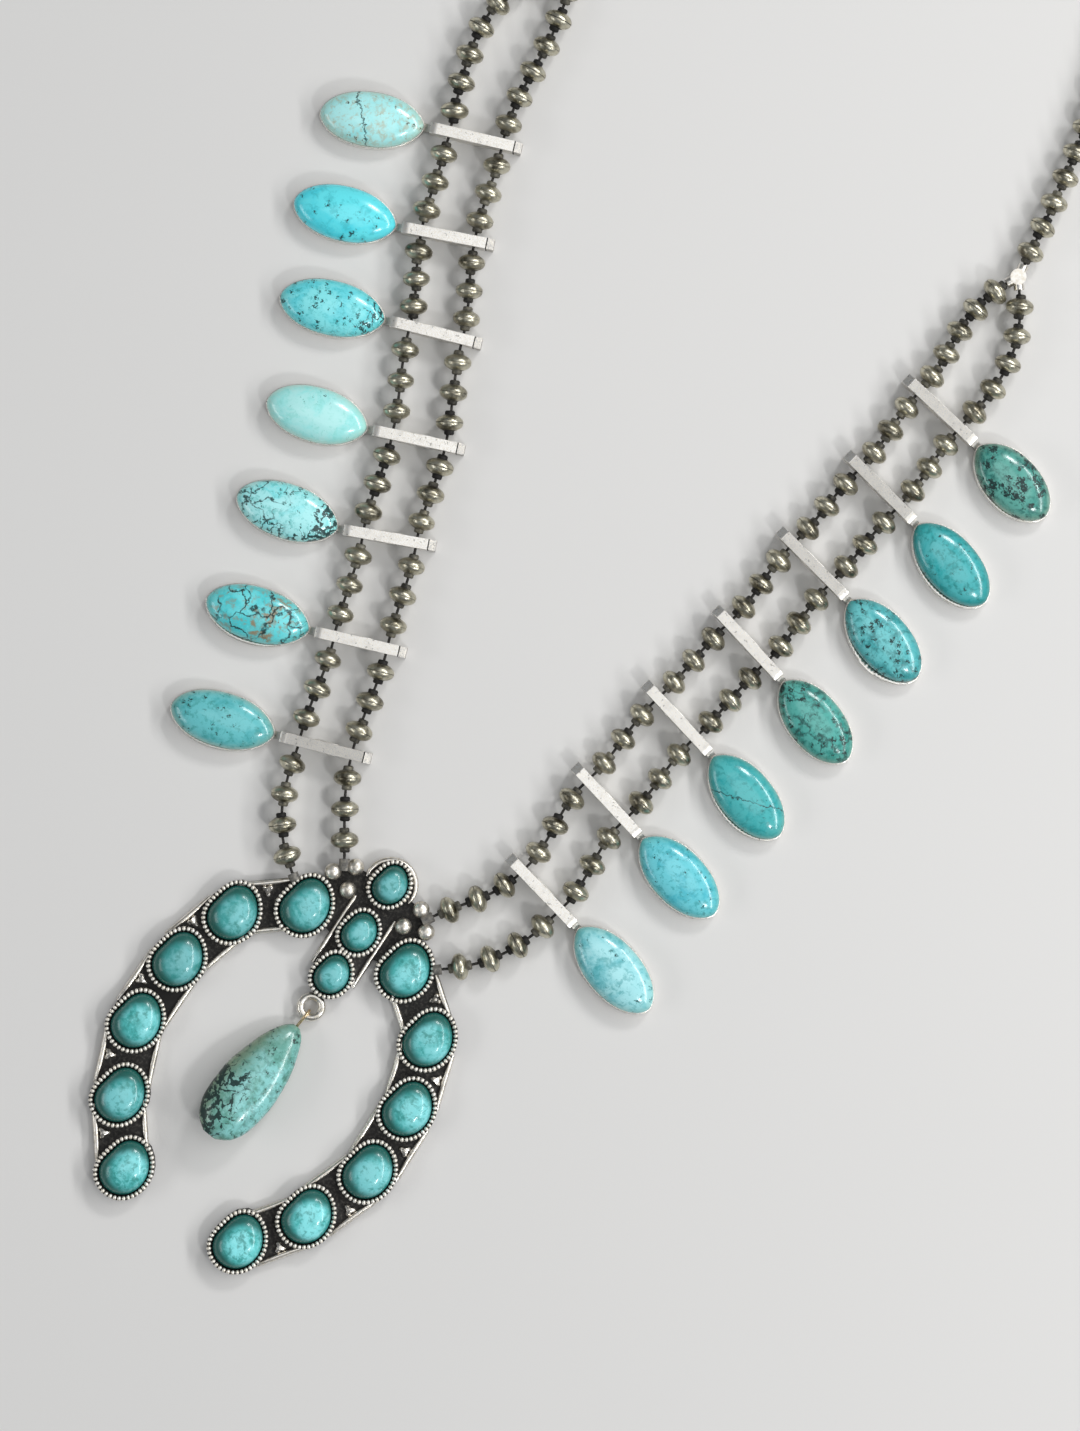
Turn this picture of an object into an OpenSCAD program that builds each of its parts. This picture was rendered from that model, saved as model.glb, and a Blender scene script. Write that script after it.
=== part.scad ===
// Squash blossom necklace with a horseshoe pendant (naja), laid flat on its back.
// Millimetres. +Y runs along the pendant's axis from the horseshoe's mouth towards the strands,
// +X to the right and +Z up. The origin is on the pendant's back, under the top centre stone.

/* [Naja] */
// Thickness of the pendant's back plate
plate_t = 1.4; // [1:0.1:2]
// Half of the horseshoe's width, measured at its widest stones' centres
naja_half_w = 27.6; // [26:0.1:34]
// Distance from the top centre stone down to the lowest stones' centres
naja_drop = 76.2; // [72:0.1:92]
// Distance from the top centre stone down to the foot stone's centre
centre_drop = 21.3; // [20:0.1:24]
// Distance from the arm's line of stones to the outer rim wire
rim_out = 5.5; // [5:0.1:6.2]
// Distance from the arm's line of stones to the inner rim wire
rim_in = 5.1; // [4.6:0.1:5.8]
// Distance from the pendant's axis to the centre bar's rim wires
rim_centre = 4.7; // [4.2:0.1:5.4]
// Diameter of the rim wires
rim_wire_d = 1.0; // [0.7:0.05:1.3]
// Diameter of the balls beside the top stone
ball_d = 3.2; // [2.6:0.1:3.8]
// Size of the small raised accents between the bezels
accent_r = 1.1; // [0.7:0.05:1.4]
// Height of the accents above the plate
accent_h = 0.7; // [0.4:0.1:1.2]

/* [Naja stones] */
// Mean radius of an arm stone
arm_stone_r = 5.0; // [4.4:0.1:5.4]
// Mean radius of a centre stone
centre_stone_r = 3.55; // [3.1:0.05:3.9]
// Height of the naja's stones
cabochon_h = 4.0; // [3.2:0.1:5]
// Height of the bezel walls above the pendant's back
bezel_h = 3.0; // [2.4:0.1:3.6]
// Thickness of the bezel walls
bezel_t = 0.75; // [0.5:0.05:0.9]
// Blackened channel between a naja stone and its bezel
channel = 0.45; // [0.2:0.05:0.6]

/* [Drop] */
// Outer diameter of the loop at the naja's foot
loop_d = 5.8; // [5:0.1:7]
// Wire diameter of that loop
loop_wire_d = 1.5; // [1.1:0.1:1.8]
// Wire diameter of the drop's eye pin
pin_wire_d = 0.6; // [0.4:0.05:0.8]
// Length of the pin's straight shank
pin_shank = 4.6; // [3.6:0.1:6]
// Length of the drop stone
drop_len = 27.6; // [22:0.1:32]
// Width of the drop stone
drop_w = 12.6; // [9:0.1:14]
// Thickness of the drop stone
drop_t = 8.0; // [6:0.1:9]

/* [Blossoms] */
// Length of a blossom's two-hole bar
bar_len = 18.7; // [17:0.1:21]
// Width of the bar, measured along the strands
bar_w = 2.2; // [1.8:0.1:2.8]
// Height of the bar
bar_h = 5.0; // [4.6:0.1:6]
// Distance between the two strands' holes
strand_gap = 10.8; // [10:0.1:12.4]
// Diameter of the holes in the bar
bar_hole_d = 1.4; // [1.2:0.05:1.8]
// Bevel at both ends of the bar's face
bar_bevel = 1.4; // [0.6:0.1:2]
// Free length of the neck between bar and cup
neck_len = 1.1; // [0.5:0.1:2]
// Width of the neck
neck_w = 1.5; // [1:0.1:2]
// Length of a blossom stone
blossom_len = 20.6; // [18:0.1:23]
// Width of a blossom stone
blossom_w = 10.4; // [9:0.1:11.6]
// Height of a blossom stone
blossom_h = 4.8; // [3.6:0.1:5.6]
// Height of the blossom's cup
cup_h = 2.3; // [1.8:0.1:3]
// Thickness of the cup's wall
cup_t = 0.35; // [0.3:0.05:0.7]
// Thickness of the cup's floor
cup_floor = 0.7; // [0.5:0.1:1]

/* [Beads] */
// Diameter of a saucer bead
bead_d = 5.7; // [5:0.1:6]
// Length of a bead over its two collars
bead_len = 5.0; // [4.4:0.1:5.1]
// Thickness of a bead's saucer
saucer_t = 3.5; // [2.8:0.1:4]
// Diameter of a bead's collars
collar_d = 2.1; // [1.9:0.1:2.6]
// Taper at the collars' ends
collar_taper = 0.3; // [0.1:0.05:0.35]
// Diameter of a bead's bore
bore_d = 1.1; // [1:0.05:1.3]
// Diameter of the thread
thread_d = 0.6; // [0.4:0.05:0.65]

/* [Ends and clasp] */
// Diameter of the tubes that hold the threads' ends
end_tube_d = 2.1; // [1.8:0.1:2.6]
// Free length of those tubes
end_tube_len = 1.3; // [1.1:0.1:2]
// Distance from a joiner's centre to its three mouths
joiner_r = 2.6; // [2.4:0.1:3.2]
// Angle between the two strands that come into a joiner
joiner_spread = 66; // [64:1:90]
// Diameter of the clasp's barrel
clasp_d = 5.0; // [4:0.1:5.6]
// Length of the clasp
clasp_len = 14; // [10:0.5:18]
// Chamfer at the clasp's ends
clasp_chamfer = 0.8; // [0.4:0.1:1.2]

/* [Clearances] */
// Gap between a stone and the metal around it
stone_gap = 0.12; // [0.08:0.02:0.2]
// Least gap between two beads
bead_gap = 0.2; // [0.1:0.05:0.3]
// How far a thread's end goes into its tube
tuck = 1.0; // [0.6:0.1:1.1]
// Radial clearance round a thread's end or a pin in its hole
end_gap = 0.12; // [0.08:0.02:0.2]
// Height of the beads above the surface that the necklace lies on
bead_lift = 0.05; // [0.02:0.01:0.2]

/* [Hidden] */

ARM_COUNT = 6;
CENTRE_COUNT = 3;
BLOSSOM_COUNT = 7;
SIDES = ["left", "right"];
STRANDS = ["outer", "inner", "back"];

function numbered(name, count) = [for (i = [1:count]) str(name, "_", i)];
function per_side(name) = [for (s = SIDES) str(name, "_", s)];
function per_side_numbered(name, count) = [for (s = SIDES) each numbered(str(name, "_", s), count)];

SILVER = "#b9b4a8";
BRIGHT_SILVER = "#dad7cf";
TURQUOISE = "#4fb3ad";
THREAD = "#2b2826";

// Points round every stone, cup and bezel outline
OUTLINE_POINTS = 20;
// Sides of the thread
THREAD_SIDES = 5;
// Steps in which a stretch of strand is measured
SPAN_STEPS = 20;
// Overlap that makes soldered pieces one solid
solder = 0.3;
// How far a bore's cutter runs past the face that it opens
CUTTER_RUN = 1;

bead_z = bead_d / 2 + bead_lift;
bezel_margin = channel + bezel_t;
end_bore_d = thread_d + 2 * end_gap;

// Arm stones, from the top down: share of the half width, share of the drop, and share of the
// inner rim's distance between this stone and the next
ARM_PLACES = [
    [0.431, 0.167, 0.80],
    [0.841, 0.286, 0.95],
    [0.990, 0.467, 1.00],
    [1.000, 0.661, 0.98],
    [0.805, 0.847, 0.88],
    [0.490, 1.000, 1.00],
];
// Centre stones, from the top down: share of the centre drop
CENTRE_PLACES = [0, 0.53, 1];
// Balls on each side: share of the first arm stone's distance aside, share of its distance down
BALL_PLACES = [
    [0.655, 0.055],
    [0.555, 0.425],
    [0.933, 0.307],
];
// Outline of the nugget stones: number of lobes, share of the mean radius, direction of a lobe
NUGGET_LOBES = [
    [2, 0.118, 87],
    [3, 0.040, 102],
    [4, 0.016, 21],
];
// Dome of a cabochon: share of its height, share of its outline
CABOCHON_RINGS = [
    [0, 0.96],
    [0.14, 1.00],
    [0.48, 0.93],
    [0.76, 0.73],
    [0.93, 0.45],
    [1.00, 0.16],
];
// Drop stone from its top down: share of its length, share of its half width
DROP_RINGS = [
    [0.00, 0.14],
    [0.05, 0.38],
    [0.18, 0.66],
    [0.33, 0.86],
    [0.50, 0.99],
    [0.68, 1.00],
    [0.83, 0.90],
    [0.94, 0.63],
    [1.00, 0.24],
];
// Half section of a bead's saucer: share of its half thickness, share of its radius
SAUCER_SECTION = [
    [0.12, 1.00],
    [0.42, 0.93],
    [0.72, 0.76],
];
// Blossoms from the pendant up: bar centre x, bar centre y, bar angle, turn of the stone,
// share of the stone's length. They follow the lay of the strands.
BLOSSOMS_LEFT = [
    [-25.8, 16.0, 199, -2, 1.01],
    [-31.4, 37.4, 200, -4, 1.01],
    [-37.9, 58.0, 203, -9, 1.00],
    [-43.7, 77.5, 201, -4, 0.98],
    [-52.5, 97.3, 199, 1, 1.01],
    [-61.0, 114.7, 202, -3, 0.99],
    [-67.0, 134.1, 200, 5, 0.99],
];
BLOSSOMS_RIGHT = [
    [25.8, 15.6, -13, -3, 1.01],
    [26.8, 37.8, -14, 1, 0.98],
    [29.6, 59.2, -14, -3, 0.97],
    [33.2, 79.4, -14, -4, 0.95],
    [35.4, 99.7, -12, -4, 0.96],
    [38.4, 119.8, -12, -4, 0.97],
    [40.0, 139.2, -10, -3, 0.91],
];
// Balls sit in the plate: height of their centres above it, as a share of their diameter
BALL_SEAT = 0.333;
// Inner end tubes start between two balls and are longer by this share of a ball's diameter
INNER_TUBE_START = 0.25;
// Distance from a rim wire's end to the stone's line, in wire diameters
RIM_WIRE_INSET = 1.5;
// Where the plate ends between the arms, below the first arm stones: share of the inner rim
CROTCH = 0.6;
// Where the centre bar's rim wires start: share of the centre drop
CENTRE_WIRE_TOP = 0.27;
// The wire over the top stone reaches this many degrees below the stone's middle on both sides
TOP_ARC_DIP = 8;
// Angle by which the drop lies aside, clockwise from the pendant's axis
DROP_ASIDE = 6;
// Distance from the drop pin's eye to the top of the stone
DROP_NECK = 1.2;
// Shape of a blossom stone: bulge, and fullness towards the bar and at the far end
BLOSSOM_BULGE = 2.2;
BLOSSOM_FULL_NEAR = 0.64;
BLOSSOM_FULL_FAR = 0.56;

// Lay of the strands above the last bars: joiner x, joiner y, heading of the single strand
JOINERS = [[-69.6, 174.0, 78], [38.6, 170.0, 96]];
// Middle of the clasp, on the far side of the loop
CLASP_AT = [-16.5, 262];
// Headings in which the outer and the inner strand leave the pendant, as on the right side
LEAVES_LEFT = [34, 58];
LEAVES_RIGHT = [38, 58];
// Where the outer strand's tube stands on the first bezel, as a direction from the stone
OUTER_TUBE_AT = 36;
// Handles of the curve: share of the distance between two stations
HANDLE = 0.34;
// Handles of the outer strand's first curve, at the pendant and at the first bar
FIRST_HANDLES_LEFT = [0.52, 0.12];
FIRST_HANDLES_RIGHT = [0.45, 0.34];
// Handle of the curve where a strand bends into its joiner
JOINER_HANDLE = 0.45;
// Handles of the half ellipse round the back, at the joiner and at the clasp
BACK_HANDLES = [0.5, 0.27];

SPHERE_FN = 40;
BORE_FN = 24;

function total(v, i = 0) = i < len(v) ? v[i] + total(v, i + 1) : 0;
function unit(a) = [cos(a), sin(a)];
function side_sign(side) = side == "left" ? -1 : 1;
// A heading given for the right side, as it is on this side
function side_heading(side, a) = side == "left" ? 180 - a : a;

function arm_place(side, i) = [
    side_sign(side) * ARM_PLACES[i][0] * naja_half_w,
    -ARM_PLACES[i][1] * naja_drop
];
// Direction from one arm stone to the next, and the direction across it to the outer rim
function arm_run(side, i) =
    let (run = arm_place(side, i + 1) - arm_place(side, i))
        run / norm(run);
function arm_out(side, i) =
    let (run = arm_run(side, i))
        side_sign(side) * [-run.y, run.x];
function inner_rim(i) = rim_in * ARM_PLACES[i][2];
function centre_place(i) = [0, -CENTRE_PLACES[i] * centre_drop];
function ball_place(side, i) = [
    arm_place(side, 0).x * BALL_PLACES[i][0],
    arm_place(side, 0).y * BALL_PLACES[i][1]
];

function nugget_share(a) = 1 + total([for (l = NUGGET_LOBES) l[1] * cos(l[0] * (a - l[2]))]);
function nugget(r, margin = 0) = [
    for (k = [0:OUTLINE_POINTS - 1])
        let (a = 360 * k / OUTLINE_POINTS)
            (r * nugget_share(a) + margin) * unit(a)
];

function blossom_full(s) = s < 0 ? BLOSSOM_FULL_NEAR : BLOSSOM_FULL_FAR;
function blossom_half_w(s) = pow(max(0, 1 - pow(abs(s), BLOSSOM_BULGE)), blossom_full(s));
// Outline of a blossom stone, its near point at the origin, with a margin all round
function blossom_outline(length, margin = 0) = [
    for (k = [0:OUTLINE_POINTS - 1])
        let (a = 360 * k / OUTLINE_POINTS, s = cos(a))
            [
                length / 2 + s * (length / 2 + margin),
                (sin(a) < 0 ? -1 : 1) * blossom_half_w(s) * (blossom_w / 2 + margin)
            ]
];

// Height at which the loop and the drop's eye lie, so that the eye clears the surface
eye_r = loop_wire_d / 2 + 2 * end_gap + pin_wire_d / 2;
eye_z = eye_r + pin_wire_d / 2 + bead_lift;
foot_y = -centre_drop
    - centre_stone_r * nugget_share(-90) - bezel_margin - loop_d / 2 + solder;
eye_y = foot_y - (loop_d - loop_wire_d) / 2;
drop_start = eye_r + pin_wire_d / 2 + DROP_NECK;
// Tilt at which a ring of the drop just clears the surface, and the largest of them
function ring_tilt(r) =
    let (along = drop_start + r[0] * drop_len, half = r[1] * drop_t / 2)
        atan2(half, along) - asin((eye_z - bead_lift) / norm([along, half]));
drop_tilt = max([for (r = DROP_RINGS) ring_tilt(r)]);

// A closed solid through rings that have the same number of points
module loft(rings) {
    n = len(rings[0]);
    last = len(rings) - 1;
    polyhedron(
        points = [for (r = rings) each r],
        faces = concat(
            [[for (k = [0:n - 1]) k]],
            [[for (k = [n - 1:-1:0]) last * n + k]],
            [for (i = [0:last - 1], k = [0:n - 1])
                [i * n + k, (i + 1) * n + k, (i + 1) * n + (k + 1) % n, i * n + (k + 1) % n]]
        )
    );
}

// A domed stone over an outline, shrunk ring by ring towards its middle
module cabochon(outline, middle, height) {
    loft([
        for (r = CABOCHON_RINGS)
            [for (p = outline) [
                middle.x + (p.x - middle.x) * r[1],
                middle.y + (p.y - middle.y) * r[1],
                height * r[0]
            ]]
    ]);
}

module rod(from, to, z, d) {
    run = to - from;
    translate([from.x, from.y, z])
        rotate([0, 90, atan2(run.y, run.x)])
            cylinder(d = d, h = norm(run), $fn = BORE_FN);
}

// Stations of a strand: x, y, heading, half length of the piece there
function blossom_rows(side) = side == "left" ? BLOSSOMS_LEFT : BLOSSOMS_RIGHT;
function bar_direction(side, i) = blossom_rows(side)[i][2];
function bar_heading(side, i) = bar_direction(side, i) + 90 * side_sign(side);
function hole_place(side, i, strand) =
    let (row = blossom_rows(side)[i], out = strand == "outer" ? 1 : -1)
        [row[0], row[1]] + out * strand_gap / 2 * unit(row[2]);
function bar_station(side, i, strand) =
    let (p = hole_place(side, i, strand))
        [p.x, p.y, bar_heading(side, i), bar_w / 2];

function outer_tube_base(side) =
    let (a = side_heading(side, OUTER_TUBE_AT))
        arm_place(side, 0) + (arm_stone_r * nugget_share(a) + bezel_margin) * unit(a);
function inner_tube_base(side) = (ball_place(side, 0) + ball_place(side, 2)) / 2;
function end_tube_base(side, strand) =
    strand == "outer" ? outer_tube_base(side) : inner_tube_base(side);
function end_tube_heading(side, strand) =
    let (leaves = side == "left" ? LEAVES_LEFT : LEAVES_RIGHT)
        side_heading(side, strand == "outer" ? leaves[0] : leaves[1]);
function end_tube_reach(strand) =
    end_tube_len + (strand == "outer" ? 0 : INNER_TUBE_START * ball_d);
function pendant_station(side, strand) =
    let (
        h = end_tube_heading(side, strand),
        p = end_tube_base(side, strand) + end_tube_reach(strand) * unit(h)
    )
        [p.x, p.y, h, 0];

function joiner_row(side) = JOINERS[side == "left" ? 0 : 1];
function joiner_place(side) = [joiner_row(side)[0], joiner_row(side)[1]];
function joiner_arrival(side, strand) =
    joiner_row(side)[2]
    + (strand == "outer" ? 1 : -1) * side_sign(side) * joiner_spread / 2;
function joiner_station(side, strand) =
    let (
        h = strand == "back" ? joiner_row(side)[2] : joiner_arrival(side, strand),
        p = joiner_place(side) + (strand == "back" ? 1 : -1) * joiner_r * unit(h)
    )
        [p.x, p.y, h, 0];
function clasp_station(side) = [
    CLASP_AT.x + side_sign(side) * clasp_len / 2,
    CLASP_AT.y,
    side == "left" ? 0 : 180,
    0
];

function stations(side, strand) =
    strand == "back"
        ? [joiner_station(side, strand), clasp_station(side)]
        : concat(
            [pendant_station(side, strand)],
            [for (i = [0:BLOSSOM_COUNT - 1]) bar_station(side, i, strand)],
            [joiner_station(side, strand)]
        );
function handles(side, strand, i) =
    strand == "back" ? BACK_HANDLES
    : strand == "outer" && i == 0 ? (side == "left" ? FIRST_HANDLES_LEFT : FIRST_HANDLES_RIGHT)
    : [HANDLE, i == BLOSSOM_COUNT ? JOINER_HANDLE : HANDLE];

// The curve between the faces of two neighbouring stations
function span_points(a, b, share) =
    let (
        p0 = [a[0], a[1]] + a[3] * unit(a[2]),
        p3 = [b[0], b[1]] - b[3] * unit(b[2]),
        d = norm(p3 - p0),
        p1 = p0 + share[0] * d * unit(a[2]),
        p2 = p3 - share[1] * d * unit(b[2])
    )
        [for (k = [0:SPAN_STEPS])
            let (t = k / SPAN_STEPS, u = 1 - t)
                u * u * u * p0 + 3 * u * u * t * p1 + 3 * u * t * t * p2 + t * t * t * p3];
function lengths(pts, i = 1, sum = 0) =
    i >= len(pts)
        ? [sum]
        : concat([sum], lengths(pts, i + 1, sum + norm(pts[i] - pts[i - 1])));
function point_at(pts, along, s) =
    let (
        i = min(len(pts) - 2, max(0, len([for (l = along) if (l <= s) 1]) - 1)),
        t = (s - along[i]) / (along[i + 1] - along[i])
    )
        pts[i] + t * (pts[i + 1] - pts[i]);

// Beads of one stretch, as many as fit, each as the two ends of its axis
function span_beads(a, b, share) =
    let (
        pts = span_points(a, b, share),
        along = lengths(pts),
        room = along[len(along) - 1],
        count = floor((room - bead_gap) / (bead_len + bead_gap)),
        gap = (room - count * bead_len) / (count + 1)
    )
        [for (k = [0:1:count - 1])
            let (s = gap + k * (bead_len + gap))
                [point_at(pts, along, s), point_at(pts, along, s + bead_len)]];
function strand_beads(side, strand) =
    let (st = stations(side, strand))
        [for (i = [0:len(st) - 2]) each span_beads(st[i], st[i + 1], handles(side, strand, i))];

// Points of the thread: into its tube, through each bead and bar, and into the tube at its end
function thread_route(side, strand) =
    let (st = stations(side, strand), last = len(st) - 1)
        concat(
            [[st[0][0], st[0][1]] - tuck * unit(st[0][2])],
            [for (i = [0:last])
                each concat(
                    [[st[i][0], st[i][1]] - st[i][3] * unit(st[i][2])],
                    st[i][3] > 0 ? [[st[i][0], st[i][1]] + st[i][3] * unit(st[i][2])] : [],
                    i < last
                        ? [for (b = span_beads(st[i], st[i + 1], handles(side, strand, i))) each b]
                        : []
                )],
            [[st[last][0], st[last][1]] + tuck * unit(st[last][2])]
        );

function route_heading(route, i) =
    let (
        a = route[max(0, i - 1)],
        b = route[min(len(route) - 1, i + 1)]
    )
        atan2(b.y - a.y, b.x - a.x);

module thread(side, strand) {
    route = thread_route(side, strand);
    color(THREAD)
        loft([
            for (i = [0:len(route) - 1])
                let (across = unit(route_heading(route, i) + 90))
                    [for (k = [0:THREAD_SIDES - 1])
                        let (a = -360 * k / THREAD_SIDES)
                            [
                                route[i].x + across.x * cos(a) * thread_d / 2,
                                route[i].y + across.y * cos(a) * thread_d / 2,
                                bead_z + sin(a) * thread_d / 2
                            ]]
        ]);
}

module bead() {
    half = saucer_t / 2;
    section = concat(
        [for (r = SAUCER_SECTION) [r[1] * bead_d / 2, r[0] * half]],
        [[collar_d / 2, half]],
        [[collar_d / 2, bead_len / 2 - collar_taper]],
        [[collar_d / 2 - collar_taper, bead_len / 2]],
        [[bore_d / 2, bead_len / 2]]
    );
    rotate_extrude($fn = SPHERE_FN)
        polygon(concat(
            section,
            [for (i = [len(section) - 1:-1:0]) [section[i].x, -section[i].y]]
        ));
}

module bead_string(side, strand) {
    color(SILVER)
        for (b = strand_beads(side, strand)) {
            run = b[1] - b[0];
            middle = (b[0] + b[1]) / 2;
            translate([middle.x, middle.y, bead_z])
                rotate([0, 90, atan2(run.y, run.x)])
                    bead();
        }
}

module naja_plate() {
    linear_extrude(height = plate_t) {
        for (side = SIDES) {
            for (i = [0:ARM_COUNT - 2]) {
                a = arm_place(side, i);
                b = arm_place(side, i + 1);
                out = arm_out(side, i);
                polygon([
                    a + out * rim_out,
                    b + out * rim_out,
                    b - out * inner_rim(i),
                    a - out * inner_rim(i)
                ]);
            }
            polygon([
                centre_place(0),
                ball_place(side, 0),
                ball_place(side, 2),
                arm_place(side, 0),
                [0, arm_place(side, 0).y - CROTCH * rim_in]
            ]);
            for (i = [0:len(BALL_PLACES) - 1])
                translate(ball_place(side, i))
                    circle(d = ball_d, $fn = BORE_FN);
        }
        translate([-rim_centre, -centre_drop])
            square([2 * rim_centre, centre_drop]);
    }
}

// Repeats a piece at every stone of the naja, with that stone's radius in $stone_r
module at_naja_stones() {
    for (side = SIDES)
        for (i = [0:ARM_COUNT - 1])
            let ($stone_r = arm_stone_r)
                translate(arm_place(side, i))
                    children();
    for (i = [0:CENTRE_COUNT - 1])
        let ($stone_r = centre_stone_r)
            translate(centre_place(i))
                children();
}

module bezels() {
    at_naja_stones()
        linear_extrude(height = bezel_h)
            polygon(nugget($stone_r, bezel_margin));
}

// The room that each stone and its blackened channel take, clear of balls, wires and tubes
module stone_pockets() {
    translate([0, 0, plate_t])
        at_naja_stones()
            linear_extrude(height = cabochon_h + ball_d)
                polygon(nugget($stone_r, channel));
}

module rim_wires() {
    for (side = SIDES)
        for (i = [0:ARM_COUNT - 2]) {
            inset = RIM_WIRE_INSET * rim_wire_d * arm_run(side, i);
            a = arm_place(side, i) + inset;
            b = arm_place(side, i + 1) - inset;
            out = arm_out(side, i);
            rod(a + out * rim_out, b + out * rim_out, plate_t, rim_wire_d);
            rod(a - out * inner_rim(i), b - out * inner_rim(i), plate_t, rim_wire_d);
        }
    for (s = [-1, 1])
        rod(
            [s * rim_centre, -CENTRE_WIRE_TOP * centre_drop],
            [s * rim_centre, -centre_drop],
            plate_t,
            rim_wire_d
        );
    translate([0, 0, plate_t])
        rotate([0, 0, -TOP_ARC_DIP])
            rotate_extrude(angle = 180 + 2 * TOP_ARC_DIP, $fn = SPHERE_FN)
                translate([centre_stone_r + bezel_margin, 0])
                    circle(d = rim_wire_d, $fn = BORE_FN);
}

module accents() {
    for (side = SIDES)
        for (i = [0:ARM_COUNT - 2]) {
            out = arm_out(side, i);
            middle = (arm_place(side, i) + arm_place(side, i + 1)) / 2;
            p = middle + out * (rim_out - rim_wire_d / 2 - accent_r);
            translate([p.x, p.y, plate_t - solder])
                rotate([0, 0, atan2(-out.y, -out.x)])
                    cylinder(r = accent_r, h = accent_h + solder, $fn = 3);
        }
}

module end_tube(side, strand) {
    h = end_tube_heading(side, strand);
    base = end_tube_base(side, strand) - solder * unit(h);
    face = end_tube_base(side, strand) + end_tube_reach(strand) * unit(h);
    rod(base, face, bead_z, end_tube_d);
}

module end_tube_bore(side, strand) {
    h = end_tube_heading(side, strand);
    face = end_tube_base(side, strand) + end_tube_reach(strand) * unit(h);
    rod(face - (tuck + end_gap) * unit(h), face + CUTTER_RUN * unit(h), bead_z, end_bore_d);
}

module naja() {
    color(SILVER)
        difference() {
            union() {
                naja_plate();
                bezels();
                rim_wires();
                accents();
                for (side = SIDES) {
                    for (i = [0:len(BALL_PLACES) - 1])
                        translate([
                            ball_place(side, i).x,
                            ball_place(side, i).y,
                            plate_t + BALL_SEAT * ball_d
                        ])
                            sphere(d = ball_d, $fn = SPHERE_FN);
                    end_tube(side, "outer");
                    end_tube(side, "inner");
                }
                translate([0, foot_y, eye_z])
                    rotate_extrude($fn = SPHERE_FN)
                        translate([(loop_d - loop_wire_d) / 2, 0])
                            circle(d = loop_wire_d, $fn = BORE_FN);
            }
            stone_pockets();
            for (side = SIDES) {
                end_tube_bore(side, "outer");
                end_tube_bore(side, "inner");
            }
        }
}

module naja_stone(place, r) {
    color(TURQUOISE)
        translate([place.x, place.y, plate_t + stone_gap])
            cabochon(nugget(r), [0, 0], cabochon_h);
}

// The drop hangs from the loop by an eye pin, and lies with its widest part on the surface
module at_drop() {
    translate([0, eye_y, eye_z])
        rotate([0, 0, -DROP_ASIDE])
            rotate([-drop_tilt, 0, 0])
                children();
}

module drop_pin() {
    color(SILVER)
        at_drop() {
            rotate([0, 90, 0])
                rotate_extrude($fn = SPHERE_FN)
                    translate([eye_r, 0])
                        circle(d = pin_wire_d, $fn = BORE_FN);
            translate([0, -eye_r, 0])
                rotate([90, 0, 0])
                    cylinder(d = pin_wire_d, h = pin_shank, $fn = BORE_FN);
        }
}

module drop_stone() {
    color(TURQUOISE)
        at_drop()
            difference() {
                translate([0, -drop_start, 0])
                    rotate([90, 0, 0])
                        loft([
                            for (r = DROP_RINGS)
                                [for (k = [0:OUTLINE_POINTS - 1])
                                    let (a = 360 * k / OUTLINE_POINTS)
                                        [
                                            cos(a) * r[1] * drop_w / 2,
                                            sin(a) * r[1] * drop_t / 2,
                                            r[0] * drop_len
                                        ]]
                        ]);
                translate([0, -eye_r, 0])
                    rotate([90, 0, 0])
                        cylinder(d = pin_wire_d + 2 * end_gap, h = pin_shank + end_gap, $fn = BORE_FN);
            }
}

module at_blossom(side, i) {
    row = blossom_rows(side)[i];
    translate([row[0], row[1], 0])
        rotate([0, 0, row[2]])
            children();
}

module at_blossom_stone(side, i) {
    translate([bar_len / 2 + neck_len, 0, 0])
        rotate([0, 0, blossom_rows(side)[i][3]])
            translate([cup_t + stone_gap, 0, 0])
                children();
}

module bar() {
    middle_len = strand_gap - bead_d - 2 * bead_gap;
    middle_w = bar_w + bead_gap;
    difference() {
        union() {
            rotate([90, 0, 0])
                linear_extrude(height = bar_w, center = true)
                    polygon([
                        [-bar_len / 2, 0],
                        [bar_len / 2, 0],
                        [bar_len / 2, bar_h - bar_bevel / 2],
                        [bar_len / 2 - bar_bevel, bar_h],
                        [bar_bevel - bar_len / 2, bar_h],
                        [-bar_len / 2, bar_h - bar_bevel / 2],
                    ]);
            translate([-middle_len / 2, -middle_w / 2, bar_bevel / 2])
                cube([middle_len, middle_w, bar_h - bar_bevel]);
        }
        for (s = [-1, 1])
            translate([s * strand_gap / 2, 0, bead_z])
                rotate([90, 0, 0])
                    cylinder(d = bar_hole_d, h = 2 * bar_w, center = true, $fn = BORE_FN);
    }
}

module blossom_setting(side, i) {
    stone_len = blossom_len * blossom_rows(side)[i][4];
    color(BRIGHT_SILVER)
        at_blossom(side, i)
            difference() {
                union() {
                    bar();
                    translate([bar_len / 2 - solder, -neck_w / 2, 0])
                        cube([neck_len + neck_w + solder, neck_w, cup_h - solder]);
                    at_blossom_stone(side, i)
                        linear_extrude(height = cup_h)
                            polygon(blossom_outline(stone_len, cup_t + stone_gap));
                }
                at_blossom_stone(side, i)
                    translate([0, 0, cup_floor])
                        linear_extrude(height = blossom_h)
                            polygon(blossom_outline(stone_len, stone_gap));
            }
}

module blossom_stone(side, i) {
    stone_len = blossom_len * blossom_rows(side)[i][4];
    color(TURQUOISE)
        at_blossom(side, i)
            at_blossom_stone(side, i)
                translate([0, 0, cup_floor + stone_gap])
                    cabochon(blossom_outline(stone_len), [stone_len / 2, 0], blossom_h);
}

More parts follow.
